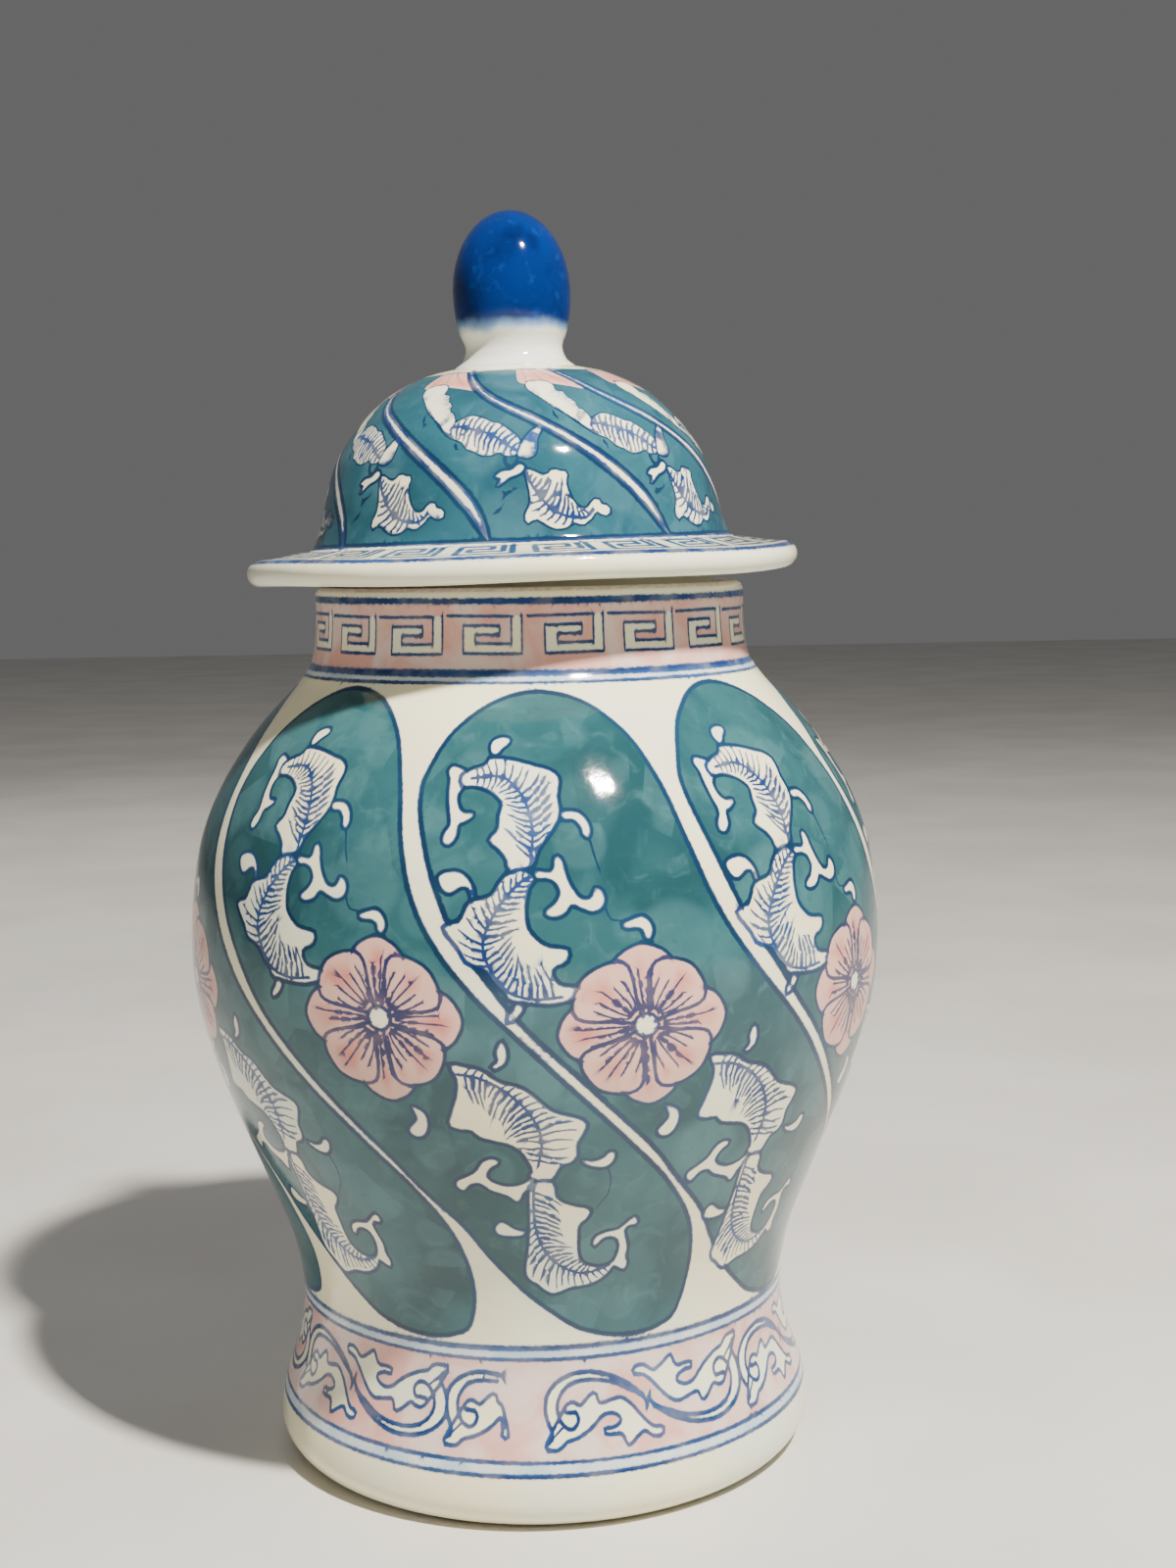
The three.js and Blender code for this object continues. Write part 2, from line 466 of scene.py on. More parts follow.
def piece(name, parts, materials, bend=None):
    """Joins stretches of surface into one closed mesh with its exact normals."""
    position = np.vstack([part["position"] for part in parts])
    normal = np.vstack([part["normal"] for part in parts])
    if bend:
        position, normal = bend(position, normal)
    faces = []
    enamel = []
    offset = 0
    for part in parts:
        faces.extend((np.asarray(part["faces"]) + offset).tolist())
        enamel.extend(np.broadcast_to(part["enamel"], len(part["faces"])).tolist())
        offset += len(part["position"])
    mesh = bpy.data.meshes.new(name)
    for material in materials:
        mesh.materials.append(material)
    mesh.from_pydata(position.tolist(), [], faces)
    mesh.polygons.foreach_set("material_index", enamel)
    mesh.polygons.foreach_set("use_smooth", [True] * len(faces))
    for key in ("ink", "tone"):
        values = [np.broadcast_to(part.get(key, 0.0), len(part["position"])) for part in parts]
        layer = mesh.attributes.new(key, "FLOAT", "POINT")
        layer.data.foreach_set("value", np.concatenate(values).astype(np.float32))
    layer = mesh.attributes.new("true_normal", "FLOAT_VECTOR", "POINT")
    layer.data.foreach_set("vector", normal.astype(np.float32).ravel())

    joined = bmesh.new()
    joined.from_mesh(mesh)
    bmesh.ops.remove_doubles(joined, verts=joined.verts, dist=SEAM_GAP)
    joined.to_mesh(mesh)
    joined.free()

    layer = mesh.attributes["true_normal"]
    normal = np.empty(len(mesh.vertices) * 3, np.float32)
    layer.data.foreach_get("vector", normal)
    mesh.normals_split_custom_set_from_vertices(normal.reshape(-1, 3).tolist())
    mesh.attributes.remove(mesh.attributes["true_normal"])
    made = bpy.data.objects.new(name, mesh)
    bpy.context.scene.collection.objects.link(made)
    return made


def painted_part(painting, profile, rule):
    """The decorated wall, as a part for piece()."""
    rows = profile.rows(painting.low, painting.high, *PAINTED_ROWS)
    places, triangles, enamel = triangulate(painting, rows)
    position, normal = spun(places[:, 0], places[:, 1], rule, profile)
    tone = np.zeros(len(places))
    for bloom in painting.blooms:
        for wrap in (-painting.turn, 0, painting.turn):
            away = (places - bloom.middle - (wrap, 0)) / (bloom.stretch, 1)
            near = np.hypot(*away.T) / bloom.reach
            close = np.flatnonzero(near < 1.1)
            if not len(close):
                continue
            edge = kdtree.KDTree(len(bloom.petals))
            for index, (x, y) in enumerate(bloom.petals):
                edge.insert((x + wrap, y, 0), index)
            edge.balance()
            depth = np.array([edge.find((*places[index], 0))[2] for index in close])
            tone[close] = np.clip(depth / PETAL_RIM, 0, 1) * np.clip(near[close] * 1.25, 0, 1)
    return {
        "position": position, "normal": normal, "faces": triangles, "enamel": enamel,
        "ink": ink_at(places, brush_marks(painting)), "tone": tone,
    }


# ---------------------------------------------------------------------------------------------
# Brushwork shared by the body and the lid
# ---------------------------------------------------------------------------------------------

def reach_to(outline, start, way):
    """How far a ray runs from `start` before it leaves a closed outline."""
    edge = np.roll(outline, -1, 0) - outline
    gap = outline - start
    cross = way[0] * edge[:, 1] - way[1] * edge[:, 0]
    cross = np.where(np.abs(cross) < 1e-9, 1e-9, cross)
    along = (gap[:, 0] * edge[:, 1] - gap[:, 1] * edge[:, 0]) / cross
    share = (gap[:, 0] * way[1] - gap[:, 1] * way[0]) / cross
    hits = along[(along > 0.2) & (share >= 0) & (share <= 1)]
    return hits.min() if len(hits) else 0.0


def ribbed(painting, outline, midrib, lean, spacing=1.6, reach=0.8, width=FINE_LINE, longest=7.5):
    """A leaf's midrib, and the fine strokes that leave both its sides.

    `lean` is how far the first and the last strokes lean towards the midrib's end, in degrees.
    `reach` is how much of the way to the leaf's edge they run.
    """
    spine = smooth(midrib, spacing)
    ways = tangents(spine)
    leans = np.linspace(*lean, len(spine))
    last = {1: spine[:0], -1: spine[:0]}
    painting.line(smooth(midrib, 1.1), 0.62, 1.0, 0.85)
    for (x, y), (tx, ty), slant in list(zip(spine, ways, leans))[1:-1]:
        for side in (1, -1):
            angle = side * math.radians(90 - slant + RANDOM.uniform(-4, 4))
            way = np.array([
                tx * math.cos(angle) - ty * math.sin(angle),
                tx * math.sin(angle) + ty * math.cos(angle),
            ])
            far = reach_to(outline, np.array([x, y]), way)
            if far < SHORTEST_RIB:
                continue
            length = min(far * reach, longest) * RANDOM.uniform(0.86, 1.04)
            bow = np.array([tx, ty]) * math.copysign(0.07 * length, slant)
            middle = np.array([x, y]) + way * length * 0.5 - bow
            end = np.array([x, y]) + way * length
            stroke = smooth([(x, y), middle, end], 0.6)
            away = stroke[:, None] - last[side]
            close = (np.hypot(away[..., 0], away[..., 1]) < RIB_GAP).any(1)
            stroke = stroke[:close.argmax()] if close.any() else stroke
            if len(stroke) > 2:
                painting.line(even(stroke, 3.0), width, 0.95, 0.6)
                last[side] = stroke


def petal(length, half_width):
    """Outline of one petal pointing along +x from the flower's centre."""
    side = points((0.13, 0.10), (0.36, 0.46), (0.58, 0.86), (0.74, 1.0), (0.88, 0.76), (0.97, 0.34))
    return np.vstack([side, [(1.0, 0.0)], (side * (1, -1))[::-1]]) * (length, half_width)


FRONT_PETALS = ((137, 16.6), (47, 15.8), (-47, 16.8), (-129, 17.0))   # direction and length
BACK_PETALS = ((181, 17.8), (90, 17.6), (0, 18.0), (-86, 18.6))
PETAL_RINGS = ((BACK_PETALS, 6.2, 4, 2.9), (FRONT_PETALS, 7.1, 5, 4.2))   # half width, veins, spread
PETAL_RIM = 2.2                # width of the pale rim of a petal
VEIN_ROOT = (3.8, 1.15)        # where a petal's outermost vein starts, along and across it
VEIN_FORCE = 0.74
EYE_RADIUS = 2.4
FLOWER_REACH = 18.5


def flower(painting, middle, turn):
    """Four petals over four more, with dark veins, round a white eye."""
    edges = []

    def put(shape, angle):
        return turned(shape, angle + turn) + middle

    for petals, half_width, count, spread in PETAL_RINGS:
        for angle, length in petals:
            angle += RANDOM.uniform(-2, 2)
            shape = put(petal(length, half_width * RANDOM.uniform(0.95, 1.05)), angle)
            edges.append(painting.hand(painting.outlined(shape, PINK, 0.72, 1.0)))
            for fan in np.linspace(-1, 1, count):
                end = length * RANDOM.uniform(0.66, 0.8) * (1 - 0.16 * abs(fan))
                root = (VEIN_ROOT[0], fan * VEIN_ROOT[1])
                vein = points(root, (end * 0.6, fan * spread * 0.7), (end, fan * spread))
                painting.line(smooth(put(vein, angle), 2.4), FINE_LINE, VEIN_FORCE)
    round_to = np.radians(np.arange(0, 360, 30))
    eye = np.stack([np.cos(round_to), np.sin(round_to)], -1) * EYE_RADIUS
    painting.outlined(put(eye, 0), WHITE, 0.75, 0.9)
    painting.blooms.append(
        Bloom(painting.hand(points(middle))[0], FLOWER_REACH, 1.0, np.vstack(edges))
    )


def hand_of(x, y=0.0, wobble=0.0):
    """A painter's hand: moves a shape into its panel and lets it drift a little."""
    phase = RANDOM.uniform(0, 2 * math.pi, 4)

    def moved(path):
        path = np.asarray(path, float)
        drift_x = wobble * (np.sin(path[:, 1] / 17 + phase[0]) + 0.5 * np.sin(path[:, 0] / 9 + phase[1]))
        drift_y = wobble * (np.sin(path[:, 0] / 15 + phase[2]) + 0.5 * np.sin(path[:, 1] / 11 + phase[3]))
        return path + np.stack([drift_x + x, drift_y + y], -1)

    return moved


# ---------------------------------------------------------------------------------------------
# The body's panels
# ---------------------------------------------------------------------------------------------

PANEL = points(
    (2, 215.8), (15, 212.7), (25, 203.7), (30.5, 191), (33.8, 177), (37.6, 165), (43, 155), (50.6, 145),
    (60.3, 134.5), (72, 121.7), (84, 109), (94, 98.3), (103.2, 85), (106.7, 71), (104.5, 60.4),
    (99, 57.3), (92, 56.2), (84, 56.4), (77, 57.7), (70, 60.2), (58, 68.3), (49, 78), (42.5, 87.5),
    (34, 97), (26, 107), (15, 118.8), (6, 128.7), (-2.7, 138), (-10, 147.5), (-17, 157.5), (-22.2, 169),
    (-26, 181), (-27.2, 187.5), (-26.6, 193.5), (-21.2, 204.8), (-10.5, 213.2),
)

CREST = points(
    (-17, 192.5), (-14.5, 194.2), (-11.3, 195.4), (-10.4, 197), (-6, 196.9), (-1.5, 196), (1.2, 195.2),
    (4.2, 194.4), (6.5, 192.4), (6, 188), (6.3, 185.8), (6, 183), (4.3, 180), (1.5, 176), (0.3, 173),
    (-4.2, 171.7), (-5, 174), (-6.6, 176), (-9, 178.1), (-7.2, 180.4), (-7.1, 183.3), (-6.6, 186.2),
    (-8, 188), (-10.5, 189.5), (-13.5, 190.2), (-16.3, 190.2),
)
CREST_RIB = points((-14.5, 192), (-7, 192.5), (-2, 188), (0.3, 181), (0, 173))
HEAD = points(
    (-16.2, 193.6), (-18.2, 194.6), (-19.8, 194.9), (-20.6, 193.6), (-19.8, 191.5), (-19.6, 188.5),
    (-19, 185), (-18.2, 181.5), (-19.3, 179.2), (-19.4, 177.5), (-18, 176.8), (-16.5, 178.5),
    (-16.2, 181.3), (-14.8, 182), (-13.1, 183.2), (-13.3, 184), (-15.3, 184), (-16.8, 185.6),
    (-17.2, 188), (-16.2, 190.2),
)
WING = points(
    (0.8, 170), (-0.3, 168.3), (-1, 165), (-1, 162.5), (-0.7, 160.3), (0.3, 158.5), (3, 156.2),
    (7, 155.5), (7.6, 154.5), (6.8, 152.7), (5, 152), (4.1, 150.5), (5.5, 148), (9.2, 147.2),
    (9.5, 146.2), (8, 144.9), (4, 143.9), (-2, 144.3), (-4.5, 144.8), (-5.3, 146.5), (-7, 148),
    (-9.3, 151), (-13, 152.5), (-14.5, 155), (-17, 158), (-18, 159.5), (-16.5, 160.5), (-14.8, 160.8),
    (-13.8, 162.5), (-12.5, 165), (-9, 166), (-7.6, 167), (-6.5, 169), (-4.8, 170.8), (-1.5, 171.8),
)
WING_RIB = points(
    (1, 171.5), (-3.5, 168), (-7.5, 162.5), (-9.7, 156.5), (-8.2, 151), (-4.6, 146.4), (0.5, 144.9),
    (6, 145.4),
)
HOOK = points(
    (1, 171.7), (4, 171.5), (4.8, 172.4), (5, 174.3), (5.8, 174.8), (6.7, 173.5), (7.2, 171.3),
    (8.2, 168.8), (9.8, 166.3), (11.5, 165.7), (12.6, 166.5), (13.2, 168), (14.5, 167.3), (15, 165.5),
    (14.3, 163.8), (12.5, 163.1), (10.5, 163.8), (8.3, 164.7), (7, 163), (5, 162.2), (3.2, 162.6),
    (3.3, 163.6), (4.8, 164.8), (5.8, 166.3), (5.9, 167.7), (5, 169.4), (3.2, 170.2), (1.3, 170.2),
)
UPPER_BUDS = (
    points((-9.8, 198), (-10.6, 200), (-9.8, 201.8), (-7.5, 202.6), (-5.6, 202.2), (-5.7, 201),
           (-7.2, 199.7), (-8.4, 198.3)),
    points((6.7, 184.2), (9, 184.6), (11, 183.9), (12.4, 182), (12.8, 179.9), (12.2, 178.6),
           (11.2, 179.4), (10.8, 181), (9.3, 182.6), (7.2, 182.8)),
    points((-12.2, 165.9), (-12.9, 167.8), (-14.5, 168.1), (-16.6, 166.8), (-18, 167),
           (-19, 168.2), (-19.6, 169.8), (-18.7, 170.8), (-16, 171.3), (-13.8, 170.5),
           (-12.2, 168.5), (-11.6, 166.2)),
    points((-2.2, 143.9), (-1.8, 142.8), (-3, 141), (-4.6, 139.9), (-4.9, 141), (-3.8, 142.6),
           (-3.3, 143.8)),
)
UPPER_STEMS = (
    points((12.6, 178), (13.5, 174), (14.3, 171.5)),
    points((-11.8, 166), (-12.8, 165), (-14, 162.5), (-17.3, 160.4)),
    points((15, 164), (16, 161.5), (18, 161)),
)
FLOWER_EYE = (22.7, 138.2)
FLOWER_BUDS = (
    points((18.5, 160.3), (20, 161), (22.5, 161.6), (24, 160.5), (24.7, 158.5), (24, 156.7),
           (23, 157.2), (22.6, 158.7), (21.3, 159.3), (19, 159.4)),
    points((27.8, 118.5), (29.5, 118), (31, 116.5), (31, 113.5), (29.5, 111.2), (27.5, 111),
           (26.3, 112.4), (27.5, 114), (28.7, 115.5), (28.3, 117.2)),
    points((48.5, 134.5), (49.4, 132.5), (49, 130), (47.2, 128.5), (46.2, 128.8),
           (47.5, 130.3), (47.3, 132.3)),
)

LOWER = (56, 0)                # where the lower spray stands in its panel
FAN = points(
    (-18.5, 129), (-15, 128.7), (-12, 128), (-8.5, 125.5), (-5, 124.5), (-2.5, 123), (0, 120.5),
    (2.5, 118.3), (7.5, 116.5), (9.5, 115), (8.8, 112.5), (7.6, 110), (7.7, 107), (6.5, 105.3),
    (4.3, 104.5), (3, 102), (1.5, 100.5), (-2.5, 101.5), (-2, 103.5), (-3, 106), (-4.5, 108.5),
    (-7, 110.3), (-10, 111), (-13.5, 112), (-15, 113.5), (-18, 113.7), (-20, 114.8), (-19, 118),
    (-17.5, 122.5), (-17.3, 126),
) + LOWER
FAN_RIB = points((-17, 127), (-12, 126), (-7, 123), (-2.5, 118), (0, 111.5), (-0.8, 104.5)) + LOWER
CURL = points(
    (-2, 101.5), (-4, 100), (-6.5, 99.3), (-9, 99.4), (-11.5, 100.5), (-12.5, 102), (-11.5, 104),
    (-10, 105), (-9.5, 106), (-11.5, 106.5), (-13.5, 105.3), (-15, 103), (-17.5, 101.3), (-19.8, 100),
    (-20, 98.5), (-18.5, 97.3), (-17.3, 98.5), (-16, 99.5), (-14, 99.5), (-12, 98), (-9.5, 97),
    (-7.5, 96.2), (-5.5, 94.8), (-4, 97.5), (-2, 99),
) + LOWER
TAIL = points(
    (1.5, 100.5), (3, 99), (3.3, 96.5), (5, 94.5), (8, 93.2), (11, 92.3), (12, 91), (10.8, 89),
    (9.3, 87.5), (9.2, 84.5), (9.5, 80), (10.5, 77.3), (12.5, 75.8), (15.5, 75), (18, 75.3),
    (19.8, 76.8), (20.5, 79.5), (20, 82), (18.5, 83.3), (16, 83.2), (13.8, 81), (13.2, 82.3), (14, 84),
    (16.5, 85), (19.5, 85.3), (21.5, 86.8), (23, 88), (24, 88.3), (24.8, 86), (22.5, 86), (21.5, 84.5),
    (22.3, 82), (23, 79.5), (22.8, 77), (23.6, 75.3), (23.2, 73.3), (21.5, 73.8), (19.8, 74.8),
    (18.5, 73.2), (17, 71.8), (14, 70.5), (11, 70), (8, 69.8), (3.5, 68.4), (1, 69.3), (-1, 71),
    (-3.3, 72.5), (-4.2, 75), (-3.2, 82), (-2.8, 90), (-2.5, 99),
) + LOWER
TAIL_RIB = points((-1.8, 99), (-1.7, 90), (0, 82.5), (4, 77), (11, 73.6), (18.5, 75.2)) + LOWER
LOWER_BUDS = (
    points((-4, 86.3), (-6.5, 87), (-9.5, 88.9), (-11, 88), (-11.5, 86.5), (-10.5, 85.3),
           (-8, 84.9), (-5, 85.1)) + LOWER,
    points((9, 105.7), (11.5, 105.3), (13.8, 106), (15, 107.3), (16.3, 107), (16.2, 105),
           (14.7, 103.5), (12.5, 103.5), (10, 104.5)) + LOWER,
)
LOWER_STEM = points((15, 103), (16, 100), (15.8, 96), (14.5, 94), (13.3, 92)) + LOWER

PANEL_LINE = 1.15              # width of a panel's outline
PANEL_LINE_INSET = 0.45        # how far inside the panel's edge it is drawn
PANEL_STEP = 1.8
PANEL_DRIFT = {-1: 6.8, 0: -0.6, 1: -1.0}   # by panel: how far the sprays stand to one side


def buds(painting, outlines):
    """Small white buds, each with its brush line."""
    for bud in outlines:
        painting.outlined(bud, step=0.7)


def upper_spray(painting):
    """The crested scroll in the upper half of a panel."""
    for stem in UPPER_STEMS:
        painting.line(smooth(stem, 0.9), 0.5, 0.9, 0.55)
    buds(painting, UPPER_BUDS)
    painting.outlined(HEAD, step=0.8)
    painting.outlined(HOOK, step=0.8)
    crest = painting.outlined(CREST, width=0.9)
    wing = painting.outlined(WING, width=0.9)
    ribbed(painting, crest, CREST_RIB, (-5, -40))
    ribbed(painting, wing, WING_RIB, (-50, -6))


def lower_spray(painting):
    """The fan and tail of the scroll below the flower."""
    painting.line(smooth(LOWER_STEM, 0.9), 0.45, 0.8, 0.5)
    buds(painting, LOWER_BUDS)
    painting.outlined(CURL, step=0.8)
    fan = painting.outlined(FAN, width=0.9)
    tail = painting.outlined(TAIL, width=0.9)
    ribbed(painting, fan, FAN_RIB, (22, -4), longest=7.0)
    ribbed(painting, tail, TAIL_RIB, (32, 24))


def panel(painting, number):
    """One teal spiral panel with its scrolls, flower and buds."""
    x = PANEL_PITCH * number
    painting.hand = hand_of(x, wobble=0.3)
    outline = anticlockwise(smooth(PANEL, PANEL_STEP, closed=True))
    painting.area(outline, TEAL)
    painting.line(outline - outwards(outline) * PANEL_LINE_INSET, PANEL_LINE, 0.95, closed=True)
    drift = PANEL_DRIFT.get(number, RANDOM.uniform(-1.5, 2.5))
    painting.hand = hand_of(x + drift, RANDOM.uniform(-0.8, 0.8), wobble=0.4)
    upper_spray(painting)
    lower_spray(painting)
    buds(painting, FLOWER_BUDS)
    flower(painting, FLOWER_EYE, RANDOM.uniform(-4, 4))


# ---------------------------------------------------------------------------------------------
# The foot band
# ---------------------------------------------------------------------------------------------

STEM_OUTER = points(
    (0, 33.3), (2, 34.5), (1.8, 36), (0.5, 38.5), (0, 41), (0.5, 44), (3, 46.5), (7, 48.3), (12, 49),
    (17, 48.5), (22, 47), (27, 44.5), (30.5, 41.5), (31, 40),
)
STEM_INNER = points(
    (30, 42.5), (26, 44), (21, 46), (16, 47), (11, 47), (7, 46), (4.5, 44), (3.5, 41.5), (4, 39),
    (5.5, 37.2), (7.5, 36.4), (9.3, 37.3), (9.8, 38.8), (9, 40), (7, 40), (5.8, 40.3),
)
SCROLL_LEAF = points(
    (6, 41), (8.5, 42), (10.5, 41.2), (13, 43), (15, 44), (15.8, 42), (17, 41.5), (20, 42), (23, 42.3),
    (26, 40.5), (29, 37.5), (32, 35), (35, 34.5), (34.5, 33.3), (32, 33.3), (29.5, 34.8), (27.5, 34.2),
    (25.5, 33), (24, 32.2), (23.2, 34), (22, 35), (19, 35), (17.3, 35.3), (17.8, 36), (20, 36),
    (22.5, 37), (22.5, 38.5), (20, 39.7), (17, 39.3), (14.5, 37.5), (12, 36), (9, 34.7), (6, 34),
    (4, 32.5), (2, 32.3), (0.3, 33),
)
CURL_FROM = 38                 # y below which the stem's inner line curls in on itself
SCROLL_PAIRS = 7
SCROLL_PITCH = 67.5
SCROLL_MIDDLE = (17.5, 41)
FLIPPED_STRETCH = 1.14
FLIPPED_MOVE = (29.9, 0)
BROKEN_AT = 19.5               # the last print round the foot came out as a left half only
BROKEN_START = -30.0


def as_drawn(shape):
    """A shape left where its outline puts it."""
    return shape


def flipped(shape):
    """A scroll turned upside down and stretched, as the second of each pair."""
    over = turned(shape, 180, SCROLL_MIDDLE) - SCROLL_MIDDLE
    return over * (FLIPPED_STRETCH, 1) + SCROLL_MIDDLE + FLIPPED_MOVE


def scroll(painting, change, cut=None):
    """One leafy scroll of the foot band; `change` puts its points in place."""
    outer, inner, leaf = STEM_OUTER, STEM_INNER, SCROLL_LEAF
    if cut:
        outer, inner, leaf = (part[part[:, 0] < cut] for part in (outer, inner, leaf))
    hollow = inner[:np.flatnonzero(inner[:, 1] < CURL_FROM)[0] + 1]
    painting.area(np.vstack([smooth(change(outer[1:-1])), smooth(change(hollow[1:]))]), WHITE)
    painting.outlined(change(leaf), WHITE, 0.95, 0.9, 1.0)
    painting.line(smooth(change(outer), 0.95), 1.1, 0.9)
    painting.line(smooth(change(inner), 0.95), 1.0, 0.88)


def foot_band(painting):
    """Leafy scrolls on patchy pink, between double blue lines."""
    painting.hand = hand_of(0)
    painting.band(26.5, 29.3, WASH)
    painting.band(29.3, 52.2, BLUSH)
    painting.band(52.2, 55, WASH)
    for height, width in ((26.5, 1.1), (29.3, 1.0), (52.2, 1.0), (55, 1.4)):
        painting.ring(height, width, 0.85)
    for number in range(SCROLL_PAIRS):
        painting.hand = hand_of(number * SCROLL_PITCH, wobble=0.25)
        scroll(painting, as_drawn)
        scroll(painting, flipped)
    painting.hand = hand_of(BROKEN_START, wobble=0.25)
    scroll(painting, as_drawn, BROKEN_AT)


# ---------------------------------------------------------------------------------------------
# The neck band
# ---------------------------------------------------------------------------------------------

FRETS = 18
FRET_STEP = 1.6
FRET_OUTER = points(
    (25, 232.8), (25, 224.2), (4.8, 224.2), (4.8, 230.4), (17.5, 230.4), (17.5, 228.4), (9, 228.4),
)
FRET_INNER = points((-1, 232.5), (21.5, 232.5), (21.5, 226.4), (9, 226.4), (9, 228.4))


def fret(painting, change, width, strength):
    """One square spiral of the key pattern."""
    outer = straight(change(FRET_OUTER), FRET_STEP)
    inner = straight(change(FRET_INNER), FRET_STEP)
    white = straight(change(np.vstack([FRET_OUTER, FRET_INNER[:0:-1]])), FRET_STEP, True)
    painting.area(white, WHITE)
    painting.line(outer, width, strength)
    painting.line(inner, width, strength)


def neck_band(painting):
    """The key pattern on patchy pink, with a blue line above and two below."""
    painting.hand = hand_of(0)
    painting.band(217.3, 219.5, WASH)
    painting.band(220.3, 235.2, BLUSH)
    for height, width, strength in ((217.3, 1.0, 0.75), (219.6, 1.7, 1.0), (235.8, 1.5, 0.95)):
        painting.ring(height, width, strength)
    pitch = BODY_TURN / FRETS
    for number in range(FRETS):
        painting.hand = hand_of(number * pitch - BODY_TURN / 2, wobble=0.14)
        fret(painting, as_drawn, 0.85, 0.7)


# ---------------------------------------------------------------------------------------------
# The lid
# ---------------------------------------------------------------------------------------------

RIDGE = points(
    (-21, 70.3), (-13.5, 62), (-8, 57.6), (-2, 54), (5, 50.3), (13, 45.3), (22, 38.8), (29, 32.8),
    (34, 27), (37.3, 20.4),
)
RIDGE_HALF = ((0, 0.9), (0.5, 1.15), (0.86, 1.45), (0.95, 0.9), (1, 0.15))   # along its length
RIDGE_DRIFT = {-1: -5.2, -2: -6.1}
LID_BLADE = points(
    (-35.5, 60), (-34.5, 62.8), (-28, 62.9), (-25.5, 60.8), (-25.8, 59), (-23, 58.2), (-22.6, 56.4),
    (-20.6, 54.8), (-20.6, 52.8), (-18.9, 52), (-17.8, 49.8), (-16.4, 47.2), (-16, 44.6), (-18, 45.2),
    (-20, 46.6), (-22, 49), (-25, 51), (-28, 53.2), (-31, 56),
)
LID_BLADE_EDGE = points((-31, 56), (-25, 51), (-20, 46.6), (-16, 44.6))
LID_LEAF = points(
    (-17.6, 49), (-14.5, 50.8), (-12, 51), (-9, 50.1), (-7, 49), (-4.5, 48.5), (-2, 46.6), (0, 45),
    (0.9, 43), (0.7, 40.6), (-1.5, 40), (-3, 40), (-4.5, 41), (-6.2, 40.3), (-8.8, 40.2), (-11, 41.3),
    (-13, 42), (-14.5, 43.8), (-16.8, 44.8), (-18, 46.8),
)
LID_LEAF_RIB = points((-18, 48), (-15, 48), (-11.5, 47), (-8, 46), (-5, 44.5), (-2.5, 42.6), (0, 41))
LID_BUD = points(
    (0.2, 39.9), (0.5, 41.5), (1.5, 43.5), (3, 45.5), (5, 47), (6.8, 47.8), (6.4, 46), (5.3, 44),
    (5, 41.5), (4.2, 40), (2.5, 39.3),
)
LID_BEAK = points(
    (-5.6, 35.1), (-4, 36.3), (-1.5, 36.7), (0.4, 38), (1.7, 37.2), (0.6, 35.8), (-2, 34.8),
    (-3.5, 33.8), (-5.2, 32.8), (-4.2, 34.6),
)
LID_BARB = points((-3.2, 39.4), (-2.8, 37.9), (-1.3, 37.3), (-0.2, 38.7))
LID_TAIL = points(
    (1.8, 36.6), (3.5, 36.4), (5.5, 35.4), (7, 35.4), (8.5, 36.6), (10.4, 36.1), (12.1, 35.8),
    (11.5, 33.5), (12, 31), (13.2, 28.6), (14.8, 27.4), (16.4, 27.9), (17.6, 29.3), (19, 29.5),
    (19.8, 28.2), (21.3, 27.9), (21.7, 26.6), (20.8, 25.7), (19.2, 26), (18, 26.7), (16.8, 25.2),
    (14.4, 23.6), (12.5, 24.2), (10, 22.9), (7.5, 23), (5, 24.5), (3.5, 25.2), (1.6, 24.2), (1.2, 26),
    (2.4, 28.5), (2.6, 31), (2.2, 33.5),
)
LID_TAIL_RIB = points(
    (2, 36), (3.2, 33), (5, 30.3), (7, 28), (9.5, 26.3), (12.5, 25.3), (15.5, 25.4), (17.3, 27),
)
CROWN_PETALS = points(
    (-38.2, 62.6), (-34, 61.6), (-30, 62.3), (-25, 61.6), (-20, 60.7), (-14, 59.6), (-16.5, 62.8),
    (-20.5, 66.5), (-25.5, 70.3), (-32, 71.2), (-38, 71.2), (-38.8, 67),
)
CROWN_VEINS = (
    points((-36, 70.5), (-35.4, 66.5), (-35, 63.4)),
    points((-33, 70.4), (-30.5, 66.5), (-28.5, 63.4)),
    points((-30, 70), (-25, 66), (-20, 62.4)),
)
STRAYS = (points((-2.8, 31.2), (-1.4, 31.9)), points((-28.4, 50.9), (-27.6, 49.6)),
          points((-16.2, 43.1), (-15.6, 42)), points((-5, 27.2), (-4.2, 28)))
LID_FRETS = 22
BRIM_LINE = 5.3                # y of the blue line on the brim's edge
DOME_LINE = 20.3               # y of the one at the foot of the dome
CROWN = 70.5                   # y above which the crown under the knob is plain white
CROWN_MIDDLE = (-30, 71)       # the heart of the crown's petals, their reach and stretch
CROWN_REACH = (12, 2.0)


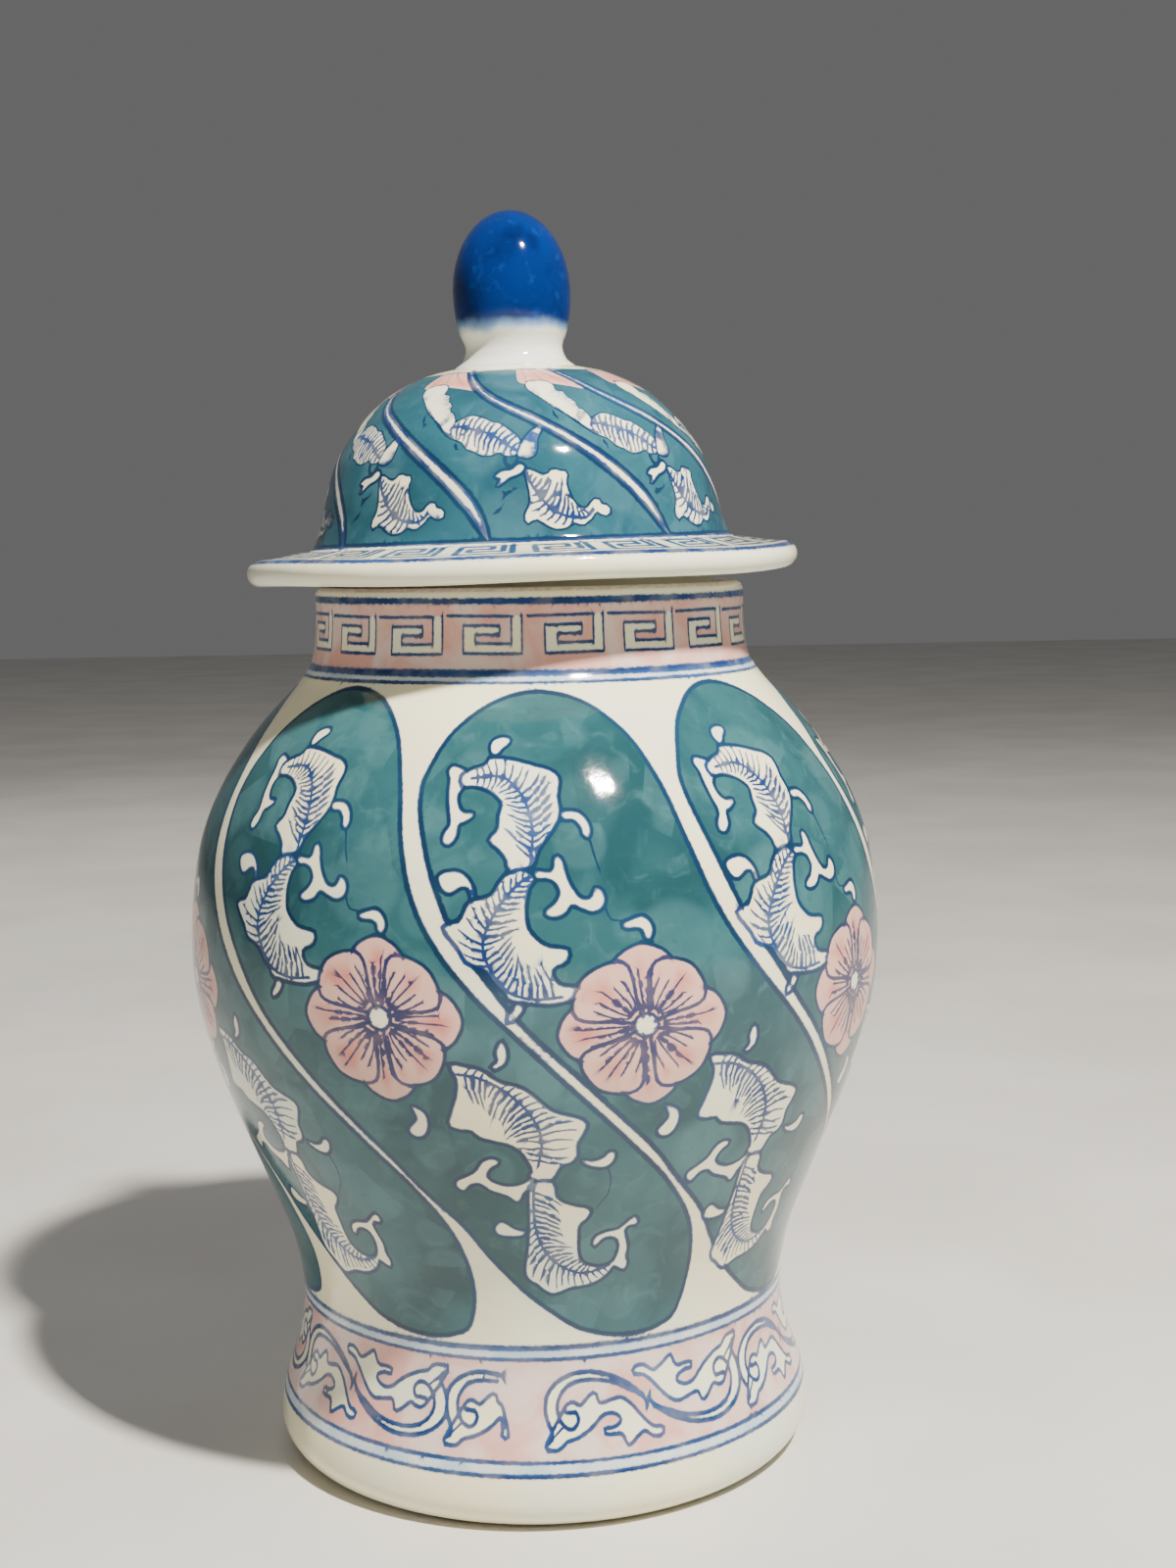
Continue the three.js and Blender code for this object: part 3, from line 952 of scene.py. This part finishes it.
def lid_painting(low, high):
    """The dome's panels and ridges, and the key pattern round the brim."""
    painting = Painting(LID_TURN, low, high)
    pitch = LID_TURN / PANELS
    painting.band(DOME_LINE, CROWN, TEAL)
    for number in range(-PANELS // 2, PANELS // 2):
        painting.hand = hand_of(number * pitch, wobble=0.22)
        lid_spray(painting)
        drift = RIDGE_DRIFT.get(number, RANDOM.uniform(-2, 0.5))
        painting.hand = hand_of(number * pitch + drift, wobble=0.25)
        lid_ridge(painting)
    painting.hand = hand_of(0)
    painting.ring(DOME_LINE, 1.3, 1.0)
    painting.ring(BRIM_LINE, 1.6, 0.95)
    painting.ring(CROWN, 1.0, 0.4)
    for number in range(LID_FRETS):
        painting.hand = hand_of(number * LID_TURN / LID_FRETS - LID_TURN / 2, wobble=0.1)
        fret(painting, brim_fret, 1.1, 1.0)
    return painting


def lid_ridge(painting):
    """The white ridge between two panels, with a blue line along each side."""
    middle = smooth(RIDGE, 1.2)
    half = np.interp(np.linspace(0, 1, len(middle)), *zip(*RIDGE_HALF))
    across = left_of(tangents(middle)) * half[:, None]
    painting.area(np.vstack([middle + across, (middle - across)[::-1]]), WHITE)
    painting.line(middle + across * 1.1, 1.35, 1.0)
    painting.line(middle - across * 1.1, 1.5, 1.0)


def lid_spray(painting):
    """The scroll on one panel of the lid, and the petals that the knob's seat cuts off."""
    petals = painting.outlined(CROWN_PETALS, PINK, 0.6, 0.35)
    middle = painting.hand(points(CROWN_MIDDLE))[0]
    painting.blooms.append(Bloom(middle, *CROWN_REACH, painting.hand(petals)))
    for vein in CROWN_VEINS:
        painting.line(smooth(vein, 1.2), 0.6, 0.5, 0.25)
    for stray in STRAYS:
        painting.line(smooth(stray, 0.8), 0.8, 0.9, 0.5)
    painting.outlined(LID_BLADE, WHITE, 0.6, 0.55)
    painting.line(smooth(LID_BLADE_EDGE, 1.0), 0.8, 0.35, 1.0)
    painting.outlined(LID_BEAK, width=0.7, step=0.7)
    leaf = painting.outlined(LID_LEAF, width=0.6, strength=0.6)
    tail = painting.outlined(LID_TAIL, width=0.65, strength=0.7)
    ribbed(painting, leaf, LID_LEAF_RIB, (4, 16), spacing=1.5, reach=0.85, width=0.66)
    ribbed(painting, tail, LID_TAIL_RIB, (-25, -5), spacing=1.45, reach=0.72, width=0.55)
    painting.outlined(LID_BUD, width=0.6, strength=0.8, step=0.7)
    painting.line(smooth(LID_BARB, 0.7), 0.9, 1.0, 0.8)


NECK_FRET_MIDDLE = np.array((0, 228.5))
BRIM_FRET_MIDDLE = (0, 13.4)
BRIM_FRET_STRETCH = 1.2


def brim_fret(shape):
    """Fits the key pattern to the top of the brim."""
    squeeze = (LID_TURN / LID_FRETS) / (BODY_TURN / FRETS)
    return (shape - NECK_FRET_MIDDLE) * (squeeze, BRIM_FRET_STRETCH) + BRIM_FRET_MIDDLE


# ---------------------------------------------------------------------------------------------
# Glazes and enamels
# ---------------------------------------------------------------------------------------------

class Glaze:
    """A glossy material being built: its node tree and short ways to add to it."""

    def __init__(self, name, roughness, ior=1.5):
        self.material = bpy.data.materials.new(name)
        self.material.use_nodes = True
        self.tree = self.material.node_tree
        self.shader = self.tree.nodes["Principled BSDF"]
        self.shader.inputs["Roughness"].default_value = roughness
        self.shader.inputs["IOR"].default_value = ior
        self.place = self.tree.nodes.new("ShaderNodeTexCoord").outputs["Object"]

    def join(self, source, target):
        self.tree.links.new(source, target)

    def node(self, kind, inputs, **settings):
        """A new shader node's outputs; each input is a socket, a number or an RGB triple."""
        made = self.tree.nodes.new("ShaderNode" + kind)
        for key, value in settings.items():
            setattr(made, key, value)
        for key, value in inputs.items():
            if isinstance(value, bpy.types.NodeSocket):
                self.join(value, made.inputs[key])
            else:
                made.inputs[key].default_value = (*value, 1) if isinstance(value, tuple) else value
        return made.outputs

    def noise(self, scale, detail, distortion=0.0):
        """Soft noise from 0 to 1."""
        inputs = {"Vector": self.place, "Scale": scale, "Detail": detail, "Distortion": distortion}
        return self.node("TexNoise", inputs)["Fac"]

    def cells(self, scale):
        """Voronoi cells: the distance to each one's middle, and a random value for each."""
        cell = self.node("TexVoronoi", {"Vector": self.place, "Scale": scale})
        return cell["Distance"], self.node("SeparateColor", {"Color": cell["Color"]})["Red"]

    def attribute(self, name):
        """A value that the mesh carries at each vertex."""
        return self.node("Attribute", {}, attribute_name=name)["Fac"]

    def spread(self, source, low, high, start=0.0, end=1.0):
        """Maps low..high softly to start..end."""
        inputs = {"Value": source, "From Min": low, "From Max": high, "To Min": start, "To Max": end}
        return self.node("MapRange", inputs, interpolation_type="SMOOTHSTEP")["Result"]

    def combine(self, kind, a, b):
        """Adds or multiplies two values."""
        return self.node("Math", {0: a, 1: b}, operation=kind)["Value"]

    def blend(self, a, b, factor):
        """Mixes two colours."""
        return self.node("Mix", {0: factor, 6: a, 7: b}, data_type="RGBA")[2]

    def mottled(self, a, b, scale, detail, low, high, start=0.0, end=1.0):
        """Two colours in soft patches: noise from low to high is `start` to `end` of the second."""
        return self.blend(a, b, self.spread(self.noise(scale, detail), low, high, start, end))

    def coloured(self, colour):
        """Gives the surface its colour, and returns the finished material."""
        self.join(colour, self.shader.inputs["Base Color"])
        return self.material

    def ripple(self, height, depth):
        """A bump of `depth` metres."""
        bump = self.node("Bump", {"Distance": depth, "Height": height})
        self.join(bump["Normal"], self.shader.inputs["Normal"])

    def brushed(self, ground, dark=(0.012, 0.035, 0.13), pale=(0.045, 0.12, 0.32)):
        """Lays the cobalt brush lines over the ground colour, denser in their middle."""
        ink = self.attribute("ink")
        edge = self.combine("ADD", ink, self.spread(self.noise(900, 2), 0.3, 0.7, -0.07, 0.07))
        cover = self.spread(edge, 0.2, 0.52)
        body = self.mottled(pale, dark, 42, 1, 0.25, 0.6, 0.45, 1.0)
        halo = self.spread(ink, 0.0, 0.3, 0.0, 0.16)
        tinted = self.blend(ground, pale, halo)
        worn = self.spread(self.noise(150, 2), 0.3, 0.6, 0.86, 1.0)
        return self.coloured(self.blend(tinted, body, self.combine("MULTIPLY", cover, worn)))


def white_ground(glaze, warm, cool):
    """Milky glaze that pools bluish in places, with a few brown kiln specks."""
    pooled = glaze.mottled(warm, cool, 26, 4, 0.35, 0.68)
    clouded = glaze.mottled(pooled, warm, 170, 5, 0.5, 0.75, 0.0, 0.5)
    distance, chance = glaze.cells(95)
    speck = glaze.spread(distance, 0.045, 0.02)
    rare = glaze.spread(chance, 0.955, 0.965)
    return glaze.blend(clouded, (0.2, 0.1, 0.035), glaze.combine("MULTIPLY", speck, rare))


def thick_glaze(name, roughness, depth=0.00035):
    """A glaze with the faint waviness of a thick coat, `depth` metres high."""
    glaze = Glaze(name, roughness)
    fine = glaze.combine("MULTIPLY", glaze.noise(420, 2), 0.05)
    glaze.ripple(glaze.combine("ADD", glaze.noise(55, 2), fine), depth)
    return glaze


def white_glaze():
    """The warm white of the bare glaze."""
    glaze = thick_glaze("white_glaze", 0.06)
    return glaze.brushed(white_ground(glaze, (0.88, 0.82, 0.55), (0.77, 0.80, 0.64)))


def teal_enamel(name, light, middle, dark):
    """Sea-green enamel laid on in broad, overlapping round dabs."""
    glaze = thick_glaze(name, 0.06, 0.0004)
    tone = glaze.blend(dark, middle, glaze.spread(glaze.noise(30, 5, 0.8), 0.32, 0.6))
    for scale, amount in ((58, 0.42), (92, 0.3)):
        distance, chance = glaze.cells(scale)
        dab = glaze.spread(distance, 0.6, 0.42)
        lit = glaze.combine("MULTIPLY", dab, glaze.spread(chance, 0.3, 1.0, 0.0, amount))
        tone = glaze.blend(tone, light, lit)
        shaded = glaze.combine("MULTIPLY", dab, glaze.spread(chance, 0.35, 0.0, 0.0, amount * 0.7))
        tone = glaze.blend(tone, dark, shaded)
    streaks = glaze.spread(glaze.noise(130, 5, 1.5), 0.5, 0.78, 0.0, 0.4)
    tone = glaze.blend(tone, light, streaks)
    tone = glaze.mottled(tone, dark, 520, 4, 0.55, 0.8, 0.0, 0.35)
    return glaze.brushed(tone, (0.007, 0.026, 0.065), (0.018, 0.065, 0.13))


def pink_enamel():
    """Rose enamel of the petals, deeper towards their tips."""
    glaze = thick_glaze("pink_enamel", 0.12)
    deep = glaze.spread(glaze.attribute("tone"), 0.15, 0.9)
    cloud = glaze.spread(glaze.noise(120, 4), 0.3, 0.65, 0.55, 1.0)
    share = glaze.combine("MULTIPLY", deep, cloud)
    tone = glaze.blend((0.69, 0.42, 0.34), (0.61, 0.205, 0.16), share)
    return glaze.brushed(tone, (0.02, 0.022, 0.085), (0.05, 0.06, 0.17))


def blush_enamel():
    """The paler, patchy pink of the foot and neck bands."""
    glaze = thick_glaze("blush_enamel", 0.1)
    patch = glaze.spread(glaze.noise(70, 4, 0.8), 0.38, 0.66)
    tone = glaze.blend((0.72, 0.57, 0.52), (0.69, 0.37, 0.31), patch)
    return glaze.brushed(tone, (0.02, 0.055, 0.16), (0.07, 0.15, 0.30))


def blue_wash():
    """White glaze with a thin wash of cobalt."""
    glaze = thick_glaze("blue_wash", 0.1)
    tone = glaze.mottled((0.66, 0.72, 0.72), (0.46, 0.57, 0.66), 110, 4, 0.35, 0.66)
    return glaze.brushed(tone, (0.02, 0.055, 0.17), (0.07, 0.16, 0.34))


def biscuit():
    """Unglazed porcelain where a piece stood in the kiln."""
    glaze = Glaze("biscuit", 0.72)
    grain = glaze.noise(900, 6)
    glaze.ripple(grain, 0.00025)
    tone = glaze.blend((0.56, 0.50, 0.42), (0.70, 0.66, 0.58), glaze.spread(grain, 0.35, 0.65))
    return glaze.coloured(glaze.mottled(tone, (0.52, 0.36, 0.24), 45, 3, 0.55, 0.75, 0.0, 0.5))


COBALT_LOW, COBALT_HIGH = 0.2718, 0.2752    # the dipped blue fades out between these heights, m
COBALT_HAZE = (COBALT_LOW - 0.001, COBALT_LOW + 0.0014)    # and a pale haze of it between these


def cobalt_glaze():
    """The knob: deep cobalt that fades to white at its stem."""
    glaze = thick_glaze("cobalt_glaze", 0.06, 0.0003)
    height = glaze.node("SeparateXYZ", {"Vector": glaze.place})["Z"]
    wander = glaze.spread(glaze.noise(120, 3), 0.3, 0.7, -0.0006, 0.0006)
    level = glaze.combine("ADD", height, wander)
    blue = glaze.mottled((0.0006, 0.019, 0.135), (0.0006, 0.011, 0.075), 75, 4, 0.4, 0.7)
    streaks = glaze.mottled(blue, (0.004, 0.06, 0.31), 300, 3, 0.52, 0.75, 0.0, 0.4)
    spots = glaze.blend(streaks, (0.001, 0.008, 0.06), glaze.attribute("tone"))
    white = white_ground(glaze, (0.76, 0.75, 0.67), (0.66, 0.73, 0.72))
    pale = glaze.blend(white, (0.20, 0.37, 0.62), glaze.spread(level, *COBALT_HAZE))
    return glaze.coloured(glaze.blend(pale, spots, glaze.spread(level, COBALT_LOW, COBALT_HIGH)))


# ---------------------------------------------------------------------------------------------
# The pieces
# ---------------------------------------------------------------------------------------------

BODY_TEAL = ((0.072, 0.185, 0.20), (0.027, 0.10, 0.115), (0.013, 0.058, 0.07))
LID_TEAL = ((0.065, 0.17, 0.215), (0.022, 0.10, 0.135), (0.011, 0.055, 0.085))
WHITES = (white_glaze(),)      # the enamels stand in the order of WHITE, TEAL, PINK and so on
COLOURS = (pink_enamel(), blush_enamel(), blue_wash(), biscuit())
BODY_ENAMELS = WHITES + (teal_enamel("teal_enamel", *BODY_TEAL),) + COLOURS
LID_ENAMELS = WHITES + (teal_enamel("lid_teal_enamel", *LID_TEAL),) + COLOURS

# Outlines below are [radius, height] in millimetres.
FOOT_RING = 58.5               # outer radius of the foot's flat ring
FOOT_ROLL = 8                  # radius of the rounded foot
RING_INNER, RING_OUTER = (51.2, 0.3), (57.5, 0.0)    # the bare clay the jar stands on
FOOT_BARE = 1.6                # how far past that the bare clay shows

FOOT_UNDER = [(0.0, 5.0), (45.0, 5.0), (48.5, 4.6), (50.3, 2.6), RING_INNER, (52, 0.0), RING_OUTER]
BODY_OUTSIDE = [
    (66.5, 8), (65.3, 15), (61.3, 27), (60, 39.5), (62.5, 54), (68.6, 70), (77.2, 91.5), (82.9, 111),
    (84.3, 128), (82.3, 147.5), (77.3, 162), (68.9, 175.6), (61.3, 184.4), (56.2, 189.6), (53.1, 195),
    (52.1, 203), (52.1, 209.7),
]
BODY_INSIDE = [
    (47.5, 209.7), (47.5, 203), (48.3, 196), (51.6, 192), (57.4, 186.5), (65, 178), (73, 163),
    (77.5, 147.5), (79.5, 128), (78.1, 111), (72.4, 91.5), (63.9, 70.5), (57.7, 54.6), (55.2, 40),
    (55.6, 30), (55.5, 22), (51, 14.2), (42, 11.3), (30, 11), (0, 11),
]
NECK_MIDDLE = 49.8
RIM_RADIUS = 2.3
RIM_CENTRE = 209.7
RIM_BARE = 2.2                 # how far the bare clay reaches to each side of the rim's top

LID_INSIDE = [
    (0, 258.2), (14, 258.0), (24, 255.6), (30, 252.2), (36, 246.5), (41, 239.5), (43.6, 231.5),
    (45.2, 224), (45.9, 218), (46.4, 214.2), (47.4, 212.5),
]
BRIM_FROM, BRIM_TO, BRIM_UNDER = 47.4, 63.6, 212.4
LIP_RADIUS = 3.1
SEAT_TO = 54                   # radius to which the underside of the brim is bare
DOME_FOOT = (50.8, 221)
DOME_LEVEL = 20                # y of the foot of the dome
KNOB_SEAT = (14.6, 262.6)
WARP_FROM, WARP_REACH = 54, 10    # the radius from which the warp grows, and over how much
WARP_UNDER = 222               # height below which it acts
LID_OUTSIDE = [
    DOME_FOOT, (48.7, 226.5), (47, 233.4), (44, 241.8), (38.4, 249.7), (32, 255.8),
    (25.2, 259.7), (19.2, 261.7), KNOB_SEAT,
]
BRIM_TOP = [(63.6, 218.6), (61.5, 218.85), (58, 219.5), (54, 220.35)]

COLLAR = [
    (41.9, 214.9), (41.6, 208), (41.6, 203), (42.1, 201.7), (43.4, 201.3), (44.6, 201.7), (45.1, 203),
    (45.2, 208), (45.2, 214.9), (43.5, 215.3), (41.9, 214.9),
]
COLLAR_BARE = ((41.8, 202.4), (44.9, 202.4))    # between these its lower edge is bare clay

KNOB = [
    (0, 261.6), (11, 261.6), (14.6, 262.3), (14.5, 262.9), (12.6, 264.5), (11.7, 266.9), (12.0, 268.9),
    (12.9, 271), (13.95, 276),
]
KNOB_MIDDLE = (0, 280.8)
KNOB_RADII = (14.2, 19.2)
KNOB_SPOTS = ((5, 292.3, 2.6), (27, 291.4, 2.2), (14, 293.4, 1.6))   # degrees, height, size


def run(control):
    """A smooth stretch of a profile."""
    return smooth(control, 0.5)


def body_profile():
    """The jar's outline, from the middle of its underside round to the middle of its floor."""
    foot = arc((FOOT_RING, FOOT_ROLL), (FOOT_ROLL, FOOT_ROLL), -90, 0)
    rim = arc((NECK_MIDDLE, RIM_CENTRE), (RIM_RADIUS, RIM_RADIUS), 0, 180)
    outline = np.vstack([
        straight(FOOT_UNDER, PROFILE_STEP)[:-1], foot, run(BODY_OUTSIDE)[1:], rim[1:],
        run(BODY_INSIDE)[1:],
    ])
    profile = Profile(outline)
    profile.shift_to(FOOT_RING + FOOT_ROLL, FOOT_ROLL, FOOT_LEVEL)
    return profile


def painted_jar():
    """The jar, from its glazed underside to its glazed inside."""
    profile = body_profile()
    ring = profile.y_of(*RING_INNER)
    low = profile.y_of(*RING_OUTER) + FOOT_BARE
    rim = profile.y_of(NECK_MIDDLE, RIM_CENTRE + RIM_RADIUS)
    high = rim - RIM_BARE
    painting = Painting(BODY_TURN, low, high)
    foot_band(painting)
    for number in range(-PANELS // 2, PANELS // 2):
        panel(painting, number)
    neck_band(painting)
    made = piece("painted_jar", [
        painted_part(painting, profile, BODY_RULE),
        *plain_parts(profile, BODY_RULE, (profile.low, ring, low), (WHITE, BISCUIT)),
        *plain_parts(profile, BODY_RULE, (high, rim + RIM_BARE, profile.high), (BISCUIT, WHITE)),
    ], BODY_ENAMELS)
    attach(made, "jar")
    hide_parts("jar_body")
    return made


def crooked(position, normal):
    """Sets the lid down a little askew, with the slight kiln warp of its brim."""
    radius = np.hypot(position[:, 0], position[:, 1]) / MM
    angle = np.arctan2(position[:, 1], position[:, 0])
    warp = np.clip((radius - WARP_FROM) / WARP_REACH, 0, 1) * (position[:, 2] / MM < WARP_UNDER)
    lift = BRIM_WAVE * warp * (0.6 * np.sin(2 * angle + 0.7) + 0.4 * np.sin(5 * angle + 2.0))
    position = position.copy()
    position[:, 2] += lift * MM
    pivot = Vector((0, 0, DOME_FOOT[1] * MM))
    move = (
        Matrix.Translation(pivot + Vector((LID_SHIFT * MM, 0, LID_REST * MM)))
        @ Matrix.Rotation(-LID_TILT, 4, "Y")
        @ Matrix.Translation(-pivot)
    )
    turn = np.array(move.to_3x3())
    return position @ turn.T + np.array(move.translation), normal @ turn.T


def lid_profile():
    """The cover's outline, from the middle of the dome's inside round to under the knob."""
    lip = arc((BRIM_TO, BRIM_UNDER + LIP_RADIUS), (LIP_RADIUS, LIP_RADIUS), -90, 90)
    brim_under = straight([(BRIM_FROM, BRIM_UNDER), (BRIM_TO, BRIM_UNDER)], PROFILE_STEP)
    outside = run(BRIM_TOP + LID_OUTSIDE)
    crown = straight([KNOB_SEAT, (0, KNOB_SEAT[1])], PROFILE_STEP)
    outline = np.vstack([run(LID_INSIDE), brim_under[1:], lip[1:], outside[1:], crown[1:]])
    profile = Profile(outline)
    profile.shift_to(*DOME_FOOT, DOME_LEVEL)
    return profile


def painted_lid():
    """The domed cover with its brim."""
    profile = lid_profile()
    seat, bare, low = (profile.y_of(radius, BRIM_UNDER) for radius in (BRIM_FROM, SEAT_TO, BRIM_TO))
    high = profile.y_of(*KNOB_SEAT)
    made = piece("painted_lid", [
        *plain_parts(profile, LID_RULE, (profile.low, seat, bare, low), (WHITE, BISCUIT, WHITE)),
        painted_part(lid_painting(low, high), profile, LID_RULE),
        plain_part(profile, high, profile.high, LID_RULE, WHITE),
    ], LID_ENAMELS, crooked)
    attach(made, "lid")
    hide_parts("lid_cover")
    return made


def lid_collar():
    """The ring under the lid that drops into the neck; its lower edge is bare."""
    profile = Profile(run(COLLAR), 0.3)
    inner, outer = (profile.y_of(*edge) for edge in COLLAR_BARE)
    levels = (profile.low, inner, outer, profile.high)
    parts = plain_parts(profile, LID_RULE, levels, (WHITE, BISCUIT, WHITE))
    made = piece("collar", parts, BODY_ENAMELS)
    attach(made, "lid_ring")
    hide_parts("lid_collar")
    return made


def knob():
    """The egg-shaped cobalt knob on its waisted stem."""
    egg = arc(KNOB_MIDDLE, KNOB_RADII, 0, 90, 24)
    profile = Profile(np.vstack([run(KNOB + [tuple(egg[0])]), egg[1:]]), 0.3)
    part = plain_part(profile, profile.low, profile.high, LID_RULE, WHITE)
    x, y, z = part["position"].T / MM
    round_to = np.degrees(np.arctan2(x, -y))
    tone = np.zeros(len(x))
    for angle, height, size in KNOB_SPOTS:
        away = np.hypot(np.radians(round_to - angle) * np.hypot(x, y), z - height)
        tone = np.maximum(tone, np.clip(1.3 - away / size, 0, 0.85))
    part["tone"] = tone
    made = piece("knob", [part], [cobalt_glaze()], crooked)
    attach(made, "lid")
    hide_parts("lid_knob")
    return made


# ---------------------------------------------------------------------------------------------
# Studio
# ---------------------------------------------------------------------------------------------

CAMERA_PLACE = (0, -0.5118, 0.2207)
CAMERA_YAW, CAMERA_PITCH, CAMERA_ROLL = (math.radians(angle) for angle in (1.51, 6.51, -0.96))
CAMERA_LENS = 47.83
CAMERA_SENSOR = 36
STUDIO_MIDDLE = (0, 0, 0.15)
STUDIO_GREY = (0.80, 0.80, 0.80, 1)
STUDIO_STRENGTH = 0.17


def floor():
    """A large pale floor with the faintest mottling."""
    glaze = Glaze("floor_paint", 0.55)
    paint = glaze.coloured(glaze.mottled((0.60, 0.58, 0.55), (0.66, 0.64, 0.61), 9, 5, 0.35, 0.65))
    bpy.ops.mesh.primitive_plane_add(size=8, location=(0, 0, 0))
    made = bpy.context.object
    made.name = "floor"
    made.data.materials.append(paint)


def area_light(name, position, size, power, colour, glossy=True):
    """A soft rectangular light aimed at the jar; `glossy` ones show in the glaze."""
    data = bpy.data.lights.new(name, "AREA")
    data.shape = "RECTANGLE"
    data.size, data.size_y = size
    data.energy = power
    data.color = colour
    lamp = bpy.data.objects.new(name, data)
    bpy.context.scene.collection.objects.link(lamp)
    lamp.location = position
    aim = Vector(STUDIO_MIDDLE) - Vector(position)
    lamp.rotation_euler = aim.to_track_quat("-Z", "Y").to_euler()
    lamp.visible_glossy = glossy


def lights():
    """A small warm key light, two large soft ones and a grey surround."""
    area_light("key", (0.40, -0.60, 1.18), (0.07, 0.07), 52, (1.0, 0.955, 0.865))
    area_light("fill", (-0.9, -0.9, 0.6), (0.9, 0.9), 1.0, (0.94, 0.97, 1.0), False)
    area_light("back", (-0.4, 1.1, 0.9), (0.9, 0.6), 5, (1.0, 0.98, 0.95), False)
    world = bpy.data.worlds.new("studio")
    bpy.context.scene.world = world
    world.use_nodes = True
    surround = world.node_tree.nodes["Background"]
    surround.inputs["Color"].default_value = STUDIO_GREY
    surround.inputs["Strength"].default_value = STUDIO_STRENGTH


def camera():
    """The camera: in front of the jar, level with the brim and tipped slightly down."""
    data = bpy.data.cameras.new("camera")
    data.lens = CAMERA_LENS
    data.sensor_width = CAMERA_SENSOR
    made = bpy.data.objects.new("camera", data)
    bpy.context.scene.collection.objects.link(made)
    made.matrix_world = (
        Matrix.Translation(CAMERA_PLACE)
        @ Matrix.Rotation(-CAMERA_YAW, 4, "Z")
        @ Matrix.Rotation(math.pi / 2 - CAMERA_PITCH, 4, "X")
        @ Matrix.Rotation(CAMERA_ROLL, 4, "Z")
    )
    bpy.context.scene.camera = made


painted_jar()
painted_lid()
lid_collar()
knob()
floor()
lights()
camera()
